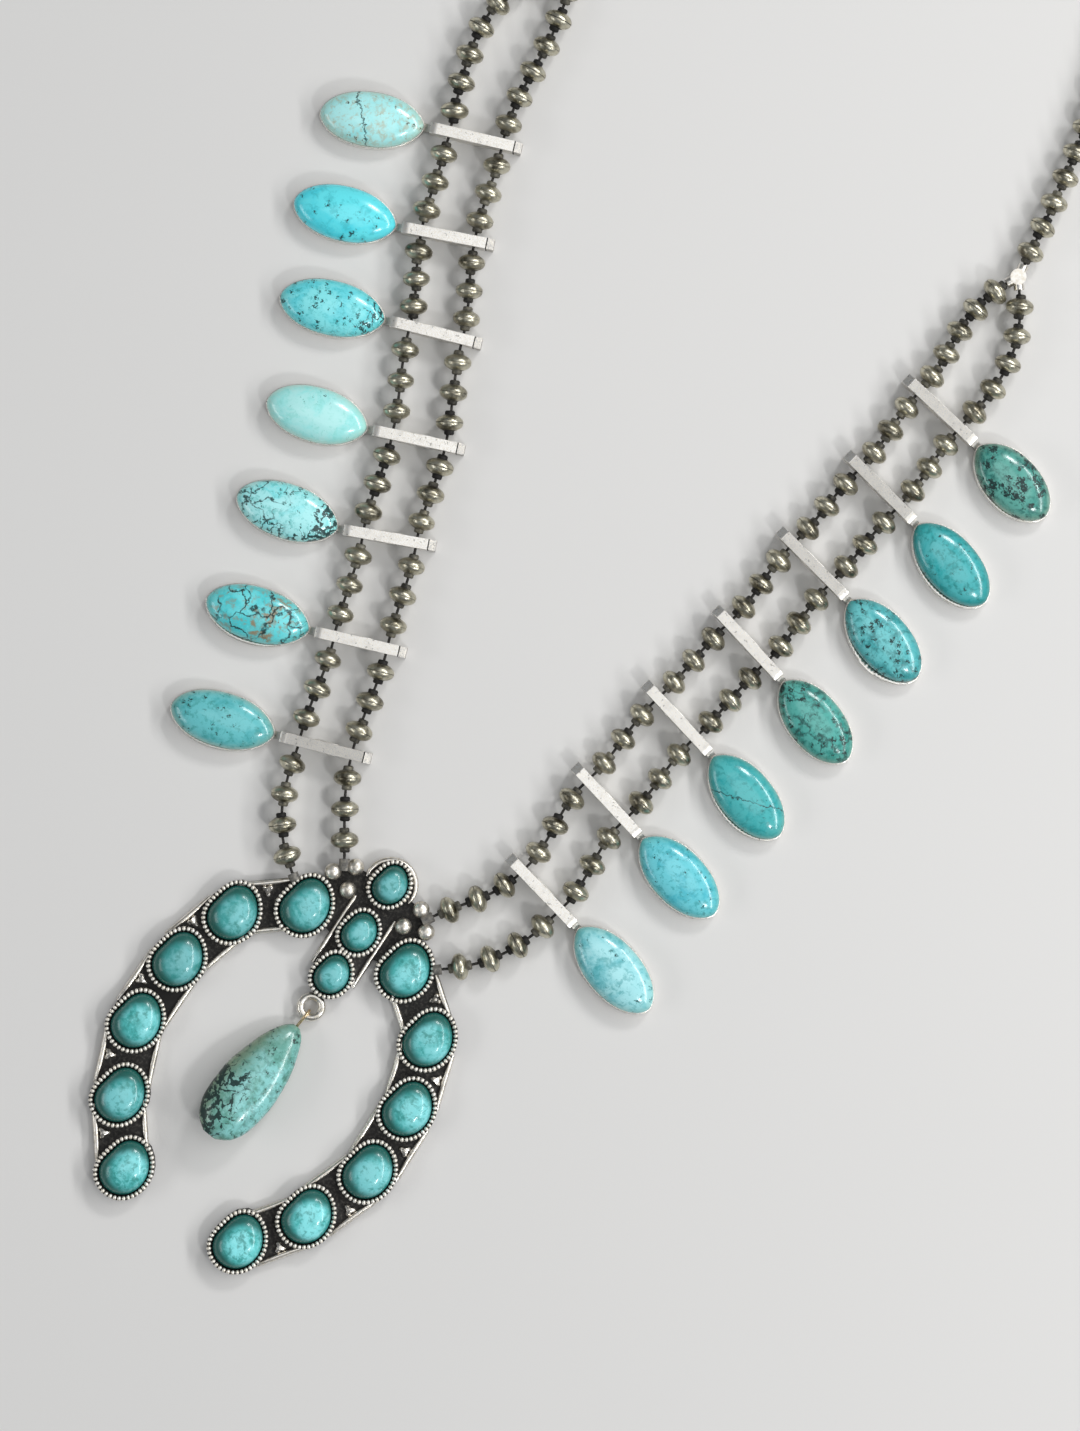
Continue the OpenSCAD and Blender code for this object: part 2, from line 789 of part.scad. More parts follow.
module joiner(side) {
    j = joiner_place(side);
    ways = [
        joiner_arrival(side, "outer") + 180,
        joiner_arrival(side, "inner") + 180,
        joiner_row(side)[2],
    ];
    color(SILVER)
        difference() {
            union() {
                translate([j.x, j.y, bead_z - end_tube_d / 2])
                    cylinder(d = 2 * (joiner_r - tuck), h = end_tube_d, $fn = SPHERE_FN);
                for (h = ways)
                    rod(j, j + joiner_r * unit(h), bead_z, end_tube_d);
            }
            for (h = ways)
                rod(
                    j + (joiner_r - tuck - end_gap) * unit(h),
                    j + (joiner_r + CUTTER_RUN) * unit(h),
                    bead_z,
                    end_bore_d
                );
        }
}

module clasp() {
    color(SILVER)
        translate([CLASP_AT.x, CLASP_AT.y, bead_z])
            rotate([0, 90, 0])
                difference() {
                    rotate_extrude($fn = SPHERE_FN)
                        polygon([
                            [0, -clasp_len / 2],
                            [clasp_d / 2 - clasp_chamfer, -clasp_len / 2],
                            [clasp_d / 2, clasp_chamfer - clasp_len / 2],
                            [clasp_d / 2, clasp_len / 2 - clasp_chamfer],
                            [clasp_d / 2 - clasp_chamfer, clasp_len / 2],
                            [0, clasp_len / 2],
                        ]);
                    for (s = [-1, 1])
                        translate([0, 0, s * (clasp_len / 2 - tuck / 2)])
                            cylinder(
                                d = end_bore_d,
                                h = tuck + 2 * end_gap,
                                center = true,
                                $fn = BORE_FN
                            );
                }
}

naja();
for (side = SIDES, i = [0:ARM_COUNT - 1])
    naja_stone(arm_place(side, i), arm_stone_r);
for (i = [0:CENTRE_COUNT - 1])
    naja_stone(centre_place(i), centre_stone_r);
drop_pin();
drop_stone();
for (side = SIDES, i = [0:BLOSSOM_COUNT - 1]) {
    blossom_setting(side, i);
    blossom_stone(side, i);
}
for (strand = STRANDS, side = SIDES)
    bead_string(side, strand);
for (side = SIDES) {
    thread(side, "outer");
    thread(side, "inner");
    thread(side, "back");  // thread_back
    joiner(side);
}
clasp();
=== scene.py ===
import math

import bmesh
import bpy
import numpy as np
from mathutils import Matrix, Vector, noise


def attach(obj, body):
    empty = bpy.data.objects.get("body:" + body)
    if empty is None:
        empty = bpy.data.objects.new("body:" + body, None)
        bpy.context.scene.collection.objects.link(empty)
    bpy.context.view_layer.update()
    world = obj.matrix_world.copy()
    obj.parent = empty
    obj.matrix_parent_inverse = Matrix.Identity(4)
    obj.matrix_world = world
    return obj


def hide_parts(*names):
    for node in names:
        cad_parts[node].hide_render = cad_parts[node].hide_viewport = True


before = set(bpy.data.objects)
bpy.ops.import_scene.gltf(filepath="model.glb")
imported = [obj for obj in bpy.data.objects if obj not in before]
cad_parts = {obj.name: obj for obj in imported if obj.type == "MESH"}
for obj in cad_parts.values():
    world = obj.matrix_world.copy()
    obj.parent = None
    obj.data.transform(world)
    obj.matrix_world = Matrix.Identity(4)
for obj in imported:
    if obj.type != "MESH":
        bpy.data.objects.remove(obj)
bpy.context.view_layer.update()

bl_info = {
    "name": "Squash blossom necklace",
    "version": (1, 0, 0),
    "blender": (4, 5, 0),
    "location": "View3D > Sidebar > Necklace",
    "description": "Dresses a squash blossom necklace with stones, beaded rims and silver beads",
    "category": "Object",
}

MM = 0.001
# Points nearer than this are one, and changes under TINY are none
MERGE = 0.002 * MM
TINY = 1e-6

# Sizes that the dress shares with the solids, in millimetres
PLATE_T = 1.4
NAJA_HALF_W = 27.6
NAJA_DROP = 76.2
CENTRE_DROP = 21.3
ARM_STONE_R = 5.0
CENTRE_STONE_R = 3.55
CABOCHON_H = 4.0
BEZEL_H = 3.0
BEZEL_T = 0.75
CHANNEL = 0.45
RIM_OUT = 5.5
RIM_IN = 5.1
RIM_CENTRE = 4.7
RIM_WIRE_D = 1.0
WIRE_SHORT = 1.3
BALL_D = 3.2
ACCENT_R = 1.1
STONE_GAP = 0.12
LOOP_D = 5.8
LOOP_WIRE_D = 1.5
PIN_WIRE_D = 0.6
DROP_LEN = 27.6
DROP_W = 12.6
DROP_T = 8.0
DROP_NECK = 1.2
DROP_ASIDE = 6
END_GAP = 0.12
BEAD_LIFT = 0.05
BAR_LEN = 18.7
NECK_LEN = 1.1
CUP_T = 0.35
CAP_NOTCH = (1.35, 1.65)
CUP_H = 2.3
CUP_FLOOR = 0.7
LIP_COVER = 0.26
BLOSSOM_LEN = 20.6
BLOSSOM_W = 10.4
BLOSSOM_H = 4.8
BEAD_D = 5.7
BEAD_LEN = 5.0
SAUCER_HALF = 0.92 * 3.5 / 2
COLLAR_D = 2.1
BORE_D = 1.1
SOLDER = 0.3

# Arm stones from the top down: share of the half width, share of the drop, share of the
# inner rim's distance between this stone and the next
ARM_PLACES = [
    (0.431, 0.167, 0.80),
    (0.841, 0.286, 0.95),
    (0.990, 0.467, 1.00),
    (1.000, 0.661, 0.98),
    (0.805, 0.847, 0.88),
    (0.490, 1.000, 1.00),
]
CENTRE_PLACES = [0, 0.53, 1]
# Balls on each side: share of the first arm stone's distance aside, share of its distance down
BALL_PLACES = [(0.655, 0.055), (0.555, 0.425), (0.933, 0.307)]
BALL_SEAT = 0.333
# Nugget outline: lobes, share of the mean radius, direction of a lobe in degrees
NUGGET_LOBES = [(2, 0.118, 87), (3, 0.040, 102), (4, 0.016, 21)]
# Drop stone from its top down: share of its length, share of its half width
DROP_RINGS = [
    (0.00, 0.14),
    (0.05, 0.38),
    (0.18, 0.66),
    (0.33, 0.86),
    (0.50, 0.99),
    (0.68, 1.00),
    (0.83, 0.90),
    (0.94, 0.63),
    (1.00, 0.24),
]
# Blossoms from the pendant up: bar centre x, bar centre y, bar angle, turn of the stone,
# share of the stone's length
BLOSSOMS = {
    "left": [
        (-25.8, 16.0, 199, -2, 1.01),
        (-31.4, 37.4, 200, -4, 1.01),
        (-37.9, 58.0, 203, -9, 1.00),
        (-43.7, 77.5, 201, -4, 0.98),
        (-52.5, 97.3, 199, 1, 1.01),
        (-61.0, 114.7, 202, -3, 0.99),
        (-67.0, 134.1, 200, 5, 0.99),
    ],
    "right": [
        (25.8, 15.6, -13, -3, 1.01),
        (26.8, 37.8, -14, 1, 0.98),
        (29.6, 59.2, -14, -3, 0.97),
        (33.2, 79.4, -14, -4, 0.95),
        (35.4, 99.7, -12, -4, 0.96),
        (38.4, 119.8, -12, -4, 0.97),
        (40.0, 139.2, -10, -3, 0.91),
    ],
}

# Colours of each blossom stone from the pendant up: base, pale clouds, patches, and the edge tone
# of the low flanks, a pale rind on most stones and painted shade where it is dark
STONE_COLOURS = {
    "left": [
        ((0.09, 0.46, 0.49), (0.15, 0.57, 0.60), (0.04, 0.30, 0.28), (0.30, 0.48, 0.40)),
        ((0.08, 0.64, 0.69), (0.18, 0.78, 0.82), (0.33, 0.20, 0.09), (0.22, 0.50, 0.44)),
        ((0.27, 0.84, 0.87), (0.43, 0.90, 0.91), (0.10, 0.50, 0.48), (0.42, 0.62, 0.52)),
        ((0.36, 0.85, 0.83), (0.47, 0.88, 0.86), (0.28, 0.74, 0.68), (0.46, 0.68, 0.56)),
        ((0.14, 0.72, 0.80), (0.26, 0.84, 0.88), (0.05, 0.46, 0.48), (0.14, 0.56, 0.50)),
        ((0.08, 0.74, 0.86), (0.14, 0.82, 0.90), (0.05, 0.50, 0.56), (0.14, 0.66, 0.70)),
        ((0.34, 0.85, 0.87), (0.46, 0.90, 0.90), (0.48, 0.46, 0.32), (0.44, 0.62, 0.50)),
    ],
    "right": [
        ((0.16, 0.57, 0.63), (0.40, 0.80, 0.84), (0.06, 0.36, 0.38), (0.24, 0.52, 0.46)),
        ((0.08, 0.52, 0.62), (0.17, 0.66, 0.74), (0.03, 0.32, 0.34), (0.16, 0.48, 0.42)),
        ((0.03, 0.39, 0.41), (0.08, 0.48, 0.49), (0.02, 0.24, 0.24), (0.14, 0.36, 0.30)),
        ((0.04, 0.30, 0.26), (0.10, 0.43, 0.38), (0.01, 0.13, 0.11), (0.18, 0.36, 0.28)),
        ((0.08, 0.45, 0.48), (0.16, 0.58, 0.60), (0.02, 0.20, 0.20), (0.03, 0.19, 0.18)),
        ((0.03, 0.38, 0.40), (0.08, 0.46, 0.48), (0.01, 0.18, 0.17), (0.02, 0.18, 0.16)),
        ((0.05, 0.27, 0.23), (0.12, 0.40, 0.34), (0.01, 0.09, 0.08), (0.26, 0.34, 0.25)),
    ],
}
COLOUR_COLUMNS = ("base", "pale", "patch", "edge")
# Figure of each blossom stone: how much of each mark, the crack's place and slope, the scale
# of the pattern and the place in it
FIGURE_COLUMNS = (
    "veins", "specks", "patches", "edges", "near_bar", "crack", "crack_at", "crack_slope",
    "scale", "offset",
)
STONE_FIGURES = {
    "left": [
        (0.0, 0.60, 0.0, 0.80, 0.0, 0.0, 8.0, 0.5, 0.9, (3, 2, 0)),
        (1.0, 0.30, 0.75, 0.60, 0.2, 0.0, 8.0, 0.5, 0.8, (14, 5, 0)),
        (1.0, 0.60, 0.1, 0.55, 1.5, 0.0, 8.0, 0.5, 1.0, (26, 9, 0)),
        (0.0, 0.30, 0.1, 0.70, 0.0, 0.0, 8.0, 0.5, 1.0, (37, 1, 0)),
        (0.0, 1.05, 0.1, 0.50, 0.45, 0.0, 8.0, 0.5, 1.0, (45, 7, 0)),
        (0.0, 0.60, 0.0, 0.35, 0.0, 0.0, 8.0, 0.5, 0.6, (58, 3, 0)),
        (0.0, 0.50, 0.4, 0.75, 0.0, 1.0, 12.2, -0.3, 0.9, (66, 8, 0)),
    ],
    "right": [
        (0.0, 0.55, 0.3, 0.65, 0.0, 0.0, 8.0, 0.5, 0.8, (73, 4, 0)),
        (0.0, 0.50, 0.4, 0.65, 0.0, 0.0, 8.0, 0.5, 1.0, (85, 6, 0)),
        (0.0, 0.30, 0.1, 0.65, 0.0, 1.0, 11.3, 1.46, 1.0, (92, 2, 0)),
        (0.7, 1.30, 0.3, 0.60, 0.30, 0.0, 8.0, 0.5, 0.9, (107, 3, 0)),
        (0.3, 1.30, 0.3, 0.60, 0.25, 0.0, 8.0, 0.5, 1.0, (115, 5, 0)),
        (0.0, 0.50, 0.3, 0.75, 0.1, 0.0, 8.0, 0.5, 1.0, (127, 1, 0)),
        (0.2, 2.10, 0.5, 0.65, 0.15, 0.0, 8.0, 0.5, 0.75, (171, 23, 0)),
    ],
}
# Lightness of the pendant's stones: left arm, right arm and centre, each from the top
PENDANT_TONES = (
    0.90, 0.85, 0.74, 1.09, 0.92, 1.12,
    1.04, 1.02, 1.08, 0.96, 1.22, 1.26,
    0.76, 0.86, 0.85,
)
# Width of the cup's lip that shows beside each stone, and how dull each bar's top is
LIP_SHOWN = {
    "left": (0.40, 0.60, 0.22, 0.14, 0.14, 0.14, 0.14),
    "right": (0.26, 0.26, 0.60, 0.20, 0.90, 0.62, 0.34),
}
BAR_DULL = {
    "left": (0.45, 0.30, 0.24, 0.20, 0.24, 0.24, 0.24),
    "right": (0.28, 0.28, 0.34, 0.36, 0.44, 0.46, 0.44),
}
# How black the cap at each bar's far end is, and the painted shade of the notch beside it; the left
# and right values differ by how the light falls on the caps, as painted light and shade
CAP_BLACK = {"left": (0.48, 0.70), "right": (0.0, 0.35)}
# Finish of each silver: stain, scuffs, gloss, scale of the marks, strength of the relief, its own
# colour if it has one, and whether the mesh says how black each face is, as blackening and, on some
# pieces, painted shade and light
SILVER_FINISHES = {
    "pendant_silver": (0.30, 0.50, 0.24, 1.0, 0.25, None, True),
    "rim_silver": (0.00, 0.00, 0.52, 1.0, 0.25, (0.98, 0.96, 0.92), False),
    "wire_silver": (0.35, 0.20, 0.27, 1.0, 0.25, (0.94, 0.91, 0.86), False),
    "edge_silver": (0.20, 0.10, 0.30, 1.0, 0.25, None, True),
    "ball_silver": (0.45, 0.60, 0.36, 1.0, 0.80, (0.92, 0.89, 0.84), False),
    "accent_silver": (0.80, 0.80, 0.34, 1.0, 1.00, (0.90, 0.88, 0.84), False),
    "pin_wire": (0.30, 0.20, 0.25, 1.0, 0.25, (0.78, 0.62, 0.40), False),
    "bar_silver": (0.12, 0.75, 0.30, 2.4, 0.25, (0.97, 0.96, 0.94), True),
    "bead_silver": (0.95, 0.70, 0.27, 1.0, 0.70, (0.61, 0.593, 0.492), True),
    "end_silver": (0.40, 0.40, 0.25, 1.0, 0.25, None, False),
}
# Half of a bead's section from its shoulder to its seam: share of the half thickness, share
# of the radius
SAUCER_SHARES = [
    (1.00, 0.42), (0.95, 0.51), (0.86, 0.63), (0.72, 0.77), (0.54, 0.885), (0.34, 0.965),
    (0.16, 0.995), (0.07, 1.00), (0.02, 0.965),
]
# Lights: name, direction in the picture, elevation, distance, width, height, power
LIGHTS = [
    ("softbox_above", 40, 83, 1.30, 0.90, 0.90, 2.9),
    ("strip_right", 4, 38, 0.90, 1.20, 0.09, 5.0),
    ("light_upper", 57, 40, 0.90, 0.18, 0.14, 1.9),
    ("light_lower", -52, 48, 0.90, 0.13, 0.10, 1.5),
    ("light_left", 190, 30, 0.90, 0.60, 0.20, 1.2),
]
PICTURE_MIDDLE = (6.5, 44.7)
OUTLINE_STEPS = 48
SIDES = ("left", "right")


class NecklaceSizes(bpy.types.PropertyGroup):
    picture_height: bpy.props.FloatProperty(
        name="Picture height", default=0.2862, unit="LENGTH",
        description="Height of the strip of surface that the picture shows",
    )
    camera_height: bpy.props.FloatProperty(
        name="Camera height", default=1.0, unit="LENGTH",
        description="Height of the camera above the surface",
    )
    camera_roll: bpy.props.FloatProperty(
        name="Camera roll", default=math.radians(33.1), subtype="ANGLE",
        description="Turn of the picture against the pendant's axis",
    )
    grain_d: bpy.props.FloatProperty(
        name="Grain diameter", default=0.80 * MM, unit="LENGTH",
        description="Diameter of one grain of the beaded rims",
    )
    grain_pitch: bpy.props.FloatProperty(
        name="Grain pitch", default=0.93 * MM, unit="LENGTH",
        description="Distance between two grains of a beaded rim",
    )
    edge_round: bpy.props.FloatProperty(
        name="Edge rounding", default=0.14 * MM, unit="LENGTH",
        description="Rounding of the edges of the bars",
    )
    bead_tilt: bpy.props.FloatProperty(
        name="Bead tilt", default=math.radians(7.0), subtype="ANGLE",
        description="How far a bead may sit askew on its thread",
    )


class NecklaceColours(bpy.types.PropertyGroup):
    silver: bpy.props.FloatVectorProperty(
        name="Silver", default=(0.88, 0.86, 0.82, 1.0), subtype="COLOR", size=4,
        description="Colour of the polished silver",
    )
    tarnish: bpy.props.FloatVectorProperty(
        name="Tarnish", default=(0.012, 0.011, 0.010, 1.0), subtype="COLOR", size=4,
        description="Colour of the blackened silver",
    )
    turquoise: bpy.props.FloatVectorProperty(
        name="Turquoise", default=(0.075, 0.450, 0.440, 1.0), subtype="COLOR", size=4,
        description="Main colour of the pendant's stones",
    )
    pale_turquoise: bpy.props.FloatVectorProperty(
        name="Pale turquoise", default=(0.220, 0.680, 0.700, 1.0), subtype="COLOR", size=4,
        description="Colour of the clouds in the pendant's stones",
    )
    floor: bpy.props.FloatVectorProperty(
        name="Floor", default=(0.72, 0.71, 0.695, 1.0), subtype="COLOR", size=4,
        description="Colour of the floor",
    )


def sizes():
    return bpy.context.scene.necklace_sizes


def colours():
    return bpy.context.scene.necklace_colours


def deselect():
    if bpy.context.object and bpy.context.object.mode != "OBJECT":
        bpy.ops.object.mode_set(mode="OBJECT")
    bpy.ops.object.select_all(action="DESELECT")


def activate(obj):
    deselect()
    obj.select_set(True)
    bpy.context.view_layer.objects.active = obj


def edit_all():
    bpy.ops.object.mode_set(mode="EDIT")
    bpy.ops.mesh.select_all(action="SELECT")


def close_form():
    """Turns all faces outwards and leaves edit mode."""
    bpy.ops.mesh.select_all(action="SELECT")
    bpy.ops.mesh.normals_make_consistent(inside=False)
    bpy.ops.object.mode_set(mode="OBJECT")


def share(x):
    return min(1.0, max(0.0, x))


def turn_z(degrees):
    return Matrix.Rotation(math.radians(degrees), 4, "Z")


def shift(x, y, z=0.0):
    return Matrix.Translation(Vector((x, y, z)) * MM)


def on_circle(r, degrees):
    a = math.radians(degrees)
    return r * math.cos(a), r * math.sin(a)


def oval(half_x, half_y, steps):
    turns = [on_circle(1, 360 * k / steps) for k in range(steps)]
    return [(x * half_x, y * half_y) for x, y in turns]


def nugget_share(a):
    return 1 + sum(s * math.cos(math.radians(n * (a - d))) for n, s, d in NUGGET_LOBES)


def nugget(r, margin=0.0, steps=OUTLINE_STEPS):
    """Outline of a nugget stone, in millimetres."""
    turns = [360 * k / steps for k in range(steps)]
    return [on_circle(r * nugget_share(a) + margin, a) for a in turns]


def blossom_outline(length, margin=0.0, steps=OUTLINE_STEPS):
    """Outline of a blossom stone, its near point at the origin, in millimetres."""
    points = []
    for c, s in oval(1, 1, steps):
        half = max(0.0, 1 - abs(c) ** 2.2) ** (0.64 if c < 0 else 0.56)
        points.append((
            length / 2 + c * (length / 2 + margin),
            math.copysign(half * (BLOSSOM_W / 2 + margin), s),
        ))
    return points


def new_object(name, data):
    obj = bpy.data.objects.new(name, data)
    bpy.context.scene.collection.objects.link(obj)
    return obj


def drawn_up(name, outline, middle, rings):
    """A closed form in millimetres: the outline is laid as a circle and extruded ring by ring.
    A ring is (height, share of the outline) or (height, share in x, share in y)."""
    rings = [r if len(r) == 3 else (r[0], r[1], r[1]) for r in rings]
    deselect()
    bpy.ops.mesh.primitive_circle_add(vertices=len(outline), radius=MM, fill_type="NGON")
    obj = bpy.context.object
    obj.name = name
    z, share_x, share_y = rings[0]
    for v, p in zip(obj.data.vertices, outline):
        v.co = Vector((
            middle[0] + (p[0] - middle[0]) * share_x,
            middle[1] + (p[1] - middle[1]) * share_y,
            z,
        )) * MM
    edit_all()
    centre = Vector((*middle, 0)) * MM
    for (z0, x0, y0), (z1, x1, y1) in zip(rings, rings[1:]):
        bpy.ops.mesh.extrude_region_move(TRANSFORM_OT_translate={"value": (0, 0, (z1 - z0) * MM)})
        bpy.ops.transform.resize(value=(x1 / x0, y1 / y0, 1), center_override=centre)
    close_form()
    bpy.ops.object.shade_smooth()
    return obj


def dome_rings(height, fullness, steps=14):
    """Rings of a cabochon: a slightly tucked foot, a steep side and a round top."""
    rings = [(0, 0.955), (0.06 * height, 0.985)]
    for k in range(steps):
        t = math.radians(10 + 79 * k / (steps - 1))
        rings.append((height * math.sin(t) ** (2 / fullness), math.cos(t) ** (2 / fullness)))
    return rings


def mark_stone(stone, back, rise_and_light_of, gather_of=None):
    """Keeps each point's place in the stone's own millimetres, how high it lies and, on some
    stones, how far it turns towards the light, from 0 to 1, which paints light and shade on the
    stone, and how much matrix gathers there."""
    mesh = stone.data
    points = [(back @ v.co) / MM for v in mesh.vertices]
    marks = {
        "rise": [share(rise_and_light_of(p)) for p in points],
        "gather": [share(gather_of(p)) if gather_of else 0.0 for p in points],
    }
    mesh.attributes.new("stone_place", "FLOAT_VECTOR", "POINT")
    for name in marks:
        mesh.attributes.new(name, "FLOAT", "POINT")
    mesh.attributes["stone_place"].data.foreach_set("vector", np.array(points, np.float32).ravel())
    for name, values in marks.items():
        mesh.attributes[name].data.foreach_set("value", np.array(values, np.float32))


def blacken_and_shade(obj, values):
    """Keeps how black each face is, from 0 to 1, as blackened silver and, on some pieces, as
    painted shade and light. The values are a list, or a function of the face."""
    if callable(values):
        values = [values(face) for face in obj.data.polygons]
    mask = obj.data.attributes.new("blackening", "FLOAT", "FACE")
    mask.data.foreach_set("value", np.array(values, np.float32))


def placed(master, matrix, name):
    """A copy of the master with its own mesh, and its place in that mesh."""
    mesh = master.data.copy()
    mesh.transform(matrix)
    mesh.name = name
    return new_object(name, mesh)


def strewn(name, master, matrices):
    """One mesh that holds a copy of the master at each place."""
    corners = np.array([v.co for v in master.data.vertices])
    faces = [tuple(p.vertices) for p in master.data.polygons]
    points, loops = [], []
    for i, m in enumerate(matrices):
        m = np.array(m)
        points.append(corners @ m[:3, :3].T + m[:3, 3])
        loops.extend(tuple(v + i * len(corners) for v in f) for f in faces)
    mesh = bpy.data.meshes.new(name)
    mesh.from_pydata(np.concatenate(points).tolist(), [], loops)
    mesh.update()
    return new_object(name, mesh)


def swept(name, path, widths, z, sides):
    """A round wire in millimetres: a circle extruded from point to point of a level path."""
    points = [Vector((x, y, z)) for x, y in path]
    last = len(points) - 1
    ways = [
        (points[min(k + 1, last)] - points[max(k - 1, 0)]).normalized()
        for k in range(last + 1)
    ]
    deselect()
    bpy.ops.mesh.primitive_circle_add(
        vertices=sides, radius=widths[0] / 2 * MM, fill_type="NGON", location=points[0] * MM,
        rotation=(0, math.radians(90), math.atan2(ways[0].y, ways[0].x)),
    )
    obj = bpy.context.object
    obj.name = name
    bpy.ops.object.transform_apply(location=True, rotation=True, scale=False)
    edit_all()
    for k in range(1, len(points)):
        here = points[k] * MM
        bpy.ops.mesh.extrude_region_move(
            TRANSFORM_OT_translate={"value": (points[k] - points[k - 1]) * MM}
        )
        bend = math.atan2(ways[k - 1].cross(ways[k]).z, ways[k - 1].dot(ways[k]))
        if abs(bend) > TINY:
            bpy.ops.transform.rotate(value=-bend, orient_axis="Z", center_override=here)
        grow = widths[k] / widths[k - 1]
        if abs(grow - 1) > TINY:
            bpy.ops.transform.resize(value=(grow, grow, grow), center_override=here)
    close_form()
    bpy.ops.object.shade_smooth_by_angle(angle=math.radians(50))
    return obj


def ball(radius, segments, rings, place=(0, 0, 0)):
    """A ball in millimetres, with its place in its mesh."""
    deselect()
    bpy.ops.mesh.primitive_uv_sphere_add(
        segments=segments, ring_count=rings, radius=radius * MM, location=Vector(place) * MM,
    )
    bpy.ops.object.transform_apply(location=True)
    return bpy.context.object


def joined(name, parts):
    activate(parts[0])
    for part in parts[1:]:
        part.select_set(True)
    bpy.ops.object.join()
    parts[0].name = name
    return parts[0]


def remove(obj):
    mesh = obj.data
    bpy.data.objects.remove(obj)
    bpy.data.meshes.remove(mesh)


def flatten(obj):
    """Lets the large faces keep their flat look beside rounded edges."""
    activate(obj)
    flat = obj.modifiers.new("flat_faces", "WEIGHTED_NORMAL")
    flat.keep_sharp = True
    flat.weight = 90
    bpy.ops.object.modifier_apply(modifier=flat.name)


def node_copy(node, name, rounding=0.0, flat=True):
    """A merged copy of a CAD node with slightly rounded edges, which stands for the node."""
    obj = new_object(name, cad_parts[node].data.copy())
    activate(obj)
    edit_all()
    bpy.ops.mesh.remove_doubles(threshold=MERGE)
    bpy.ops.mesh.dissolve_limited(angle_limit=math.radians(0.6))
    bpy.ops.object.mode_set(mode="OBJECT")
    if rounding:
        bevel = obj.modifiers.new("rounding", "BEVEL")
        bevel.width = rounding
        bevel.segments = 2
        bevel.limit_method = "ANGLE"
        bevel.angle_limit = math.radians(40)
        bevel.use_clamp_overlap = True
        bpy.ops.object.modifier_apply(modifier=bevel.name)
    bpy.ops.object.shade_smooth_by_angle(angle=math.radians(32))
    if flat:
        flatten(obj)
    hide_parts(node)
    return obj


def finish_piece(obj, material):
    obj.data.materials.clear()
    obj.data.materials.append(material)
    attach(obj, "root")


class Signal:
    """An output of a node. It is reckoned with as a number or, by scaled and moved, as a
    vector."""

    def __init__(self, net, socket):
        self.net = net
        self.socket = socket

    def math(self, operation, other=None, clamp=False):
        n = self.net.node("ShaderNodeMath", {0: self}, operation=operation, use_clamp=clamp)
        if other is not None:
            self.net.set(n.inputs[1], other)
        return self.net.out(n)

    def __add__(self, other):
        return self.math("ADD", other)

    def __sub__(self, other):
        return self.math("SUBTRACT", other)

    def __mul__(self, other):
        return self.math("MULTIPLY", other)

    def ramp(self, low, high, to_low=0.0, to_high=1.0):
        """A smooth step from one value to another."""
        values = dict(enumerate((self, low, high, to_low, to_high)))
        return self.net.out(self.net.node(
            "ShaderNodeMapRange", values, clamp=True, interpolation_type="SMOOTHSTEP"
        ))

    def scaled(self, factor):
        values = {0: self, "Scale": factor}
        return self.net.out(self.net.node("ShaderNodeVectorMath", values, operation="SCALE"))

    def moved(self, other):
        values = {0: self, 1: other}
        return self.net.out(self.net.node("ShaderNodeVectorMath", values, operation="ADD"))


class Net:
    """Short hand for the nodes of one tree."""

    def __init__(self, tree):
        self.tree = tree

    def node(self, kind, values=None, **fields):
        n = self.tree.nodes.new(kind)
        for key, value in fields.items():
            setattr(n, key, value)
        for key, value in (values or {}).items():
            self.set(n.inputs[key], value)
        return n

    def out(self, node, key=0):
        return Signal(self, node.outputs[key])

    def set(self, socket, value):
        if isinstance(value, Signal):
            self.tree.links.new(value.socket, socket)
        else:
            socket.default_value = value

    def place(self):
        return self.out(self.node("ShaderNodeTexCoord"), "Object")

    def mark(self, name, output="Fac"):
        """What the mesh keeps under that name."""
        return self.out(self.node("ShaderNodeAttribute", attribute_name=name), output)

    def mix(self, factor, a, b, blend="MIX"):
        values = {0: factor, 6: a, 7: b}
        return self.out(self.node("ShaderNodeMix", values, data_type="RGBA", blend_type=blend), 2)

    def noise(self, vector, scale, detail=3.0, roughness=0.55, distortion=0.0, output="Fac"):
        return self.out(self.node("ShaderNodeTexNoise", {
            "Vector": vector, "Scale": scale, "Detail": detail,
            "Roughness": roughness, "Distortion": distortion,
        }), output)

    def cells(self, vector, scale, feature="F1"):
        return self.node(
            "ShaderNodeTexVoronoi", {"Vector": vector, "Scale": scale},
            feature=feature, voronoi_dimensions="2D",
        )

    def seams(self, vector, scale):
        """Distance from the seams between cells."""
        return self.out(self.cells(vector, scale, "DISTANCE_TO_EDGE"), "Distance")

    def put_out(self, **outputs):
        """Makes the outputs of a group and leads the values there."""
        for label in outputs:
            kind = "NodeSocketColor" if label == "Color" else "NodeSocketFloat"
            self.tree.interface.new_socket(name=label, in_out="OUTPUT", socket_type=kind)
        self.node("NodeGroupOutput", outputs)

    def relief(self, shader, height, strength, depth):
        values = {"Strength": strength, "Distance": depth, "Height": height}
        bump = self.node("ShaderNodeBump", values)
        self.set(shader.inputs["Normal"], self.out(bump, "Normal"))

    def lead(self, shader, group, outputs):
        for label, output in outputs.items():
            self.set(shader.inputs[label], self.out(group, output))


def new_group(name, inputs):
    """A node group and its inputs by label. A default of four numbers is a colour, and one of
    three a vector."""
    net = Net(bpy.data.node_groups.new(name, "ShaderNodeTree"))
    for label, default in inputs.items():
        count = len(default) if isinstance(default, tuple) else 1
        kind = {1: "NodeSocketFloat", 3: "NodeSocketVector", 4: "NodeSocketColor"}[count]
        socket = net.tree.interface.new_socket(name=label, in_out="INPUT", socket_type=kind)
        socket.default_value = default
    enter = net.node("NodeGroupInput")
    return net, {label: net.out(enter, label) for label in inputs}


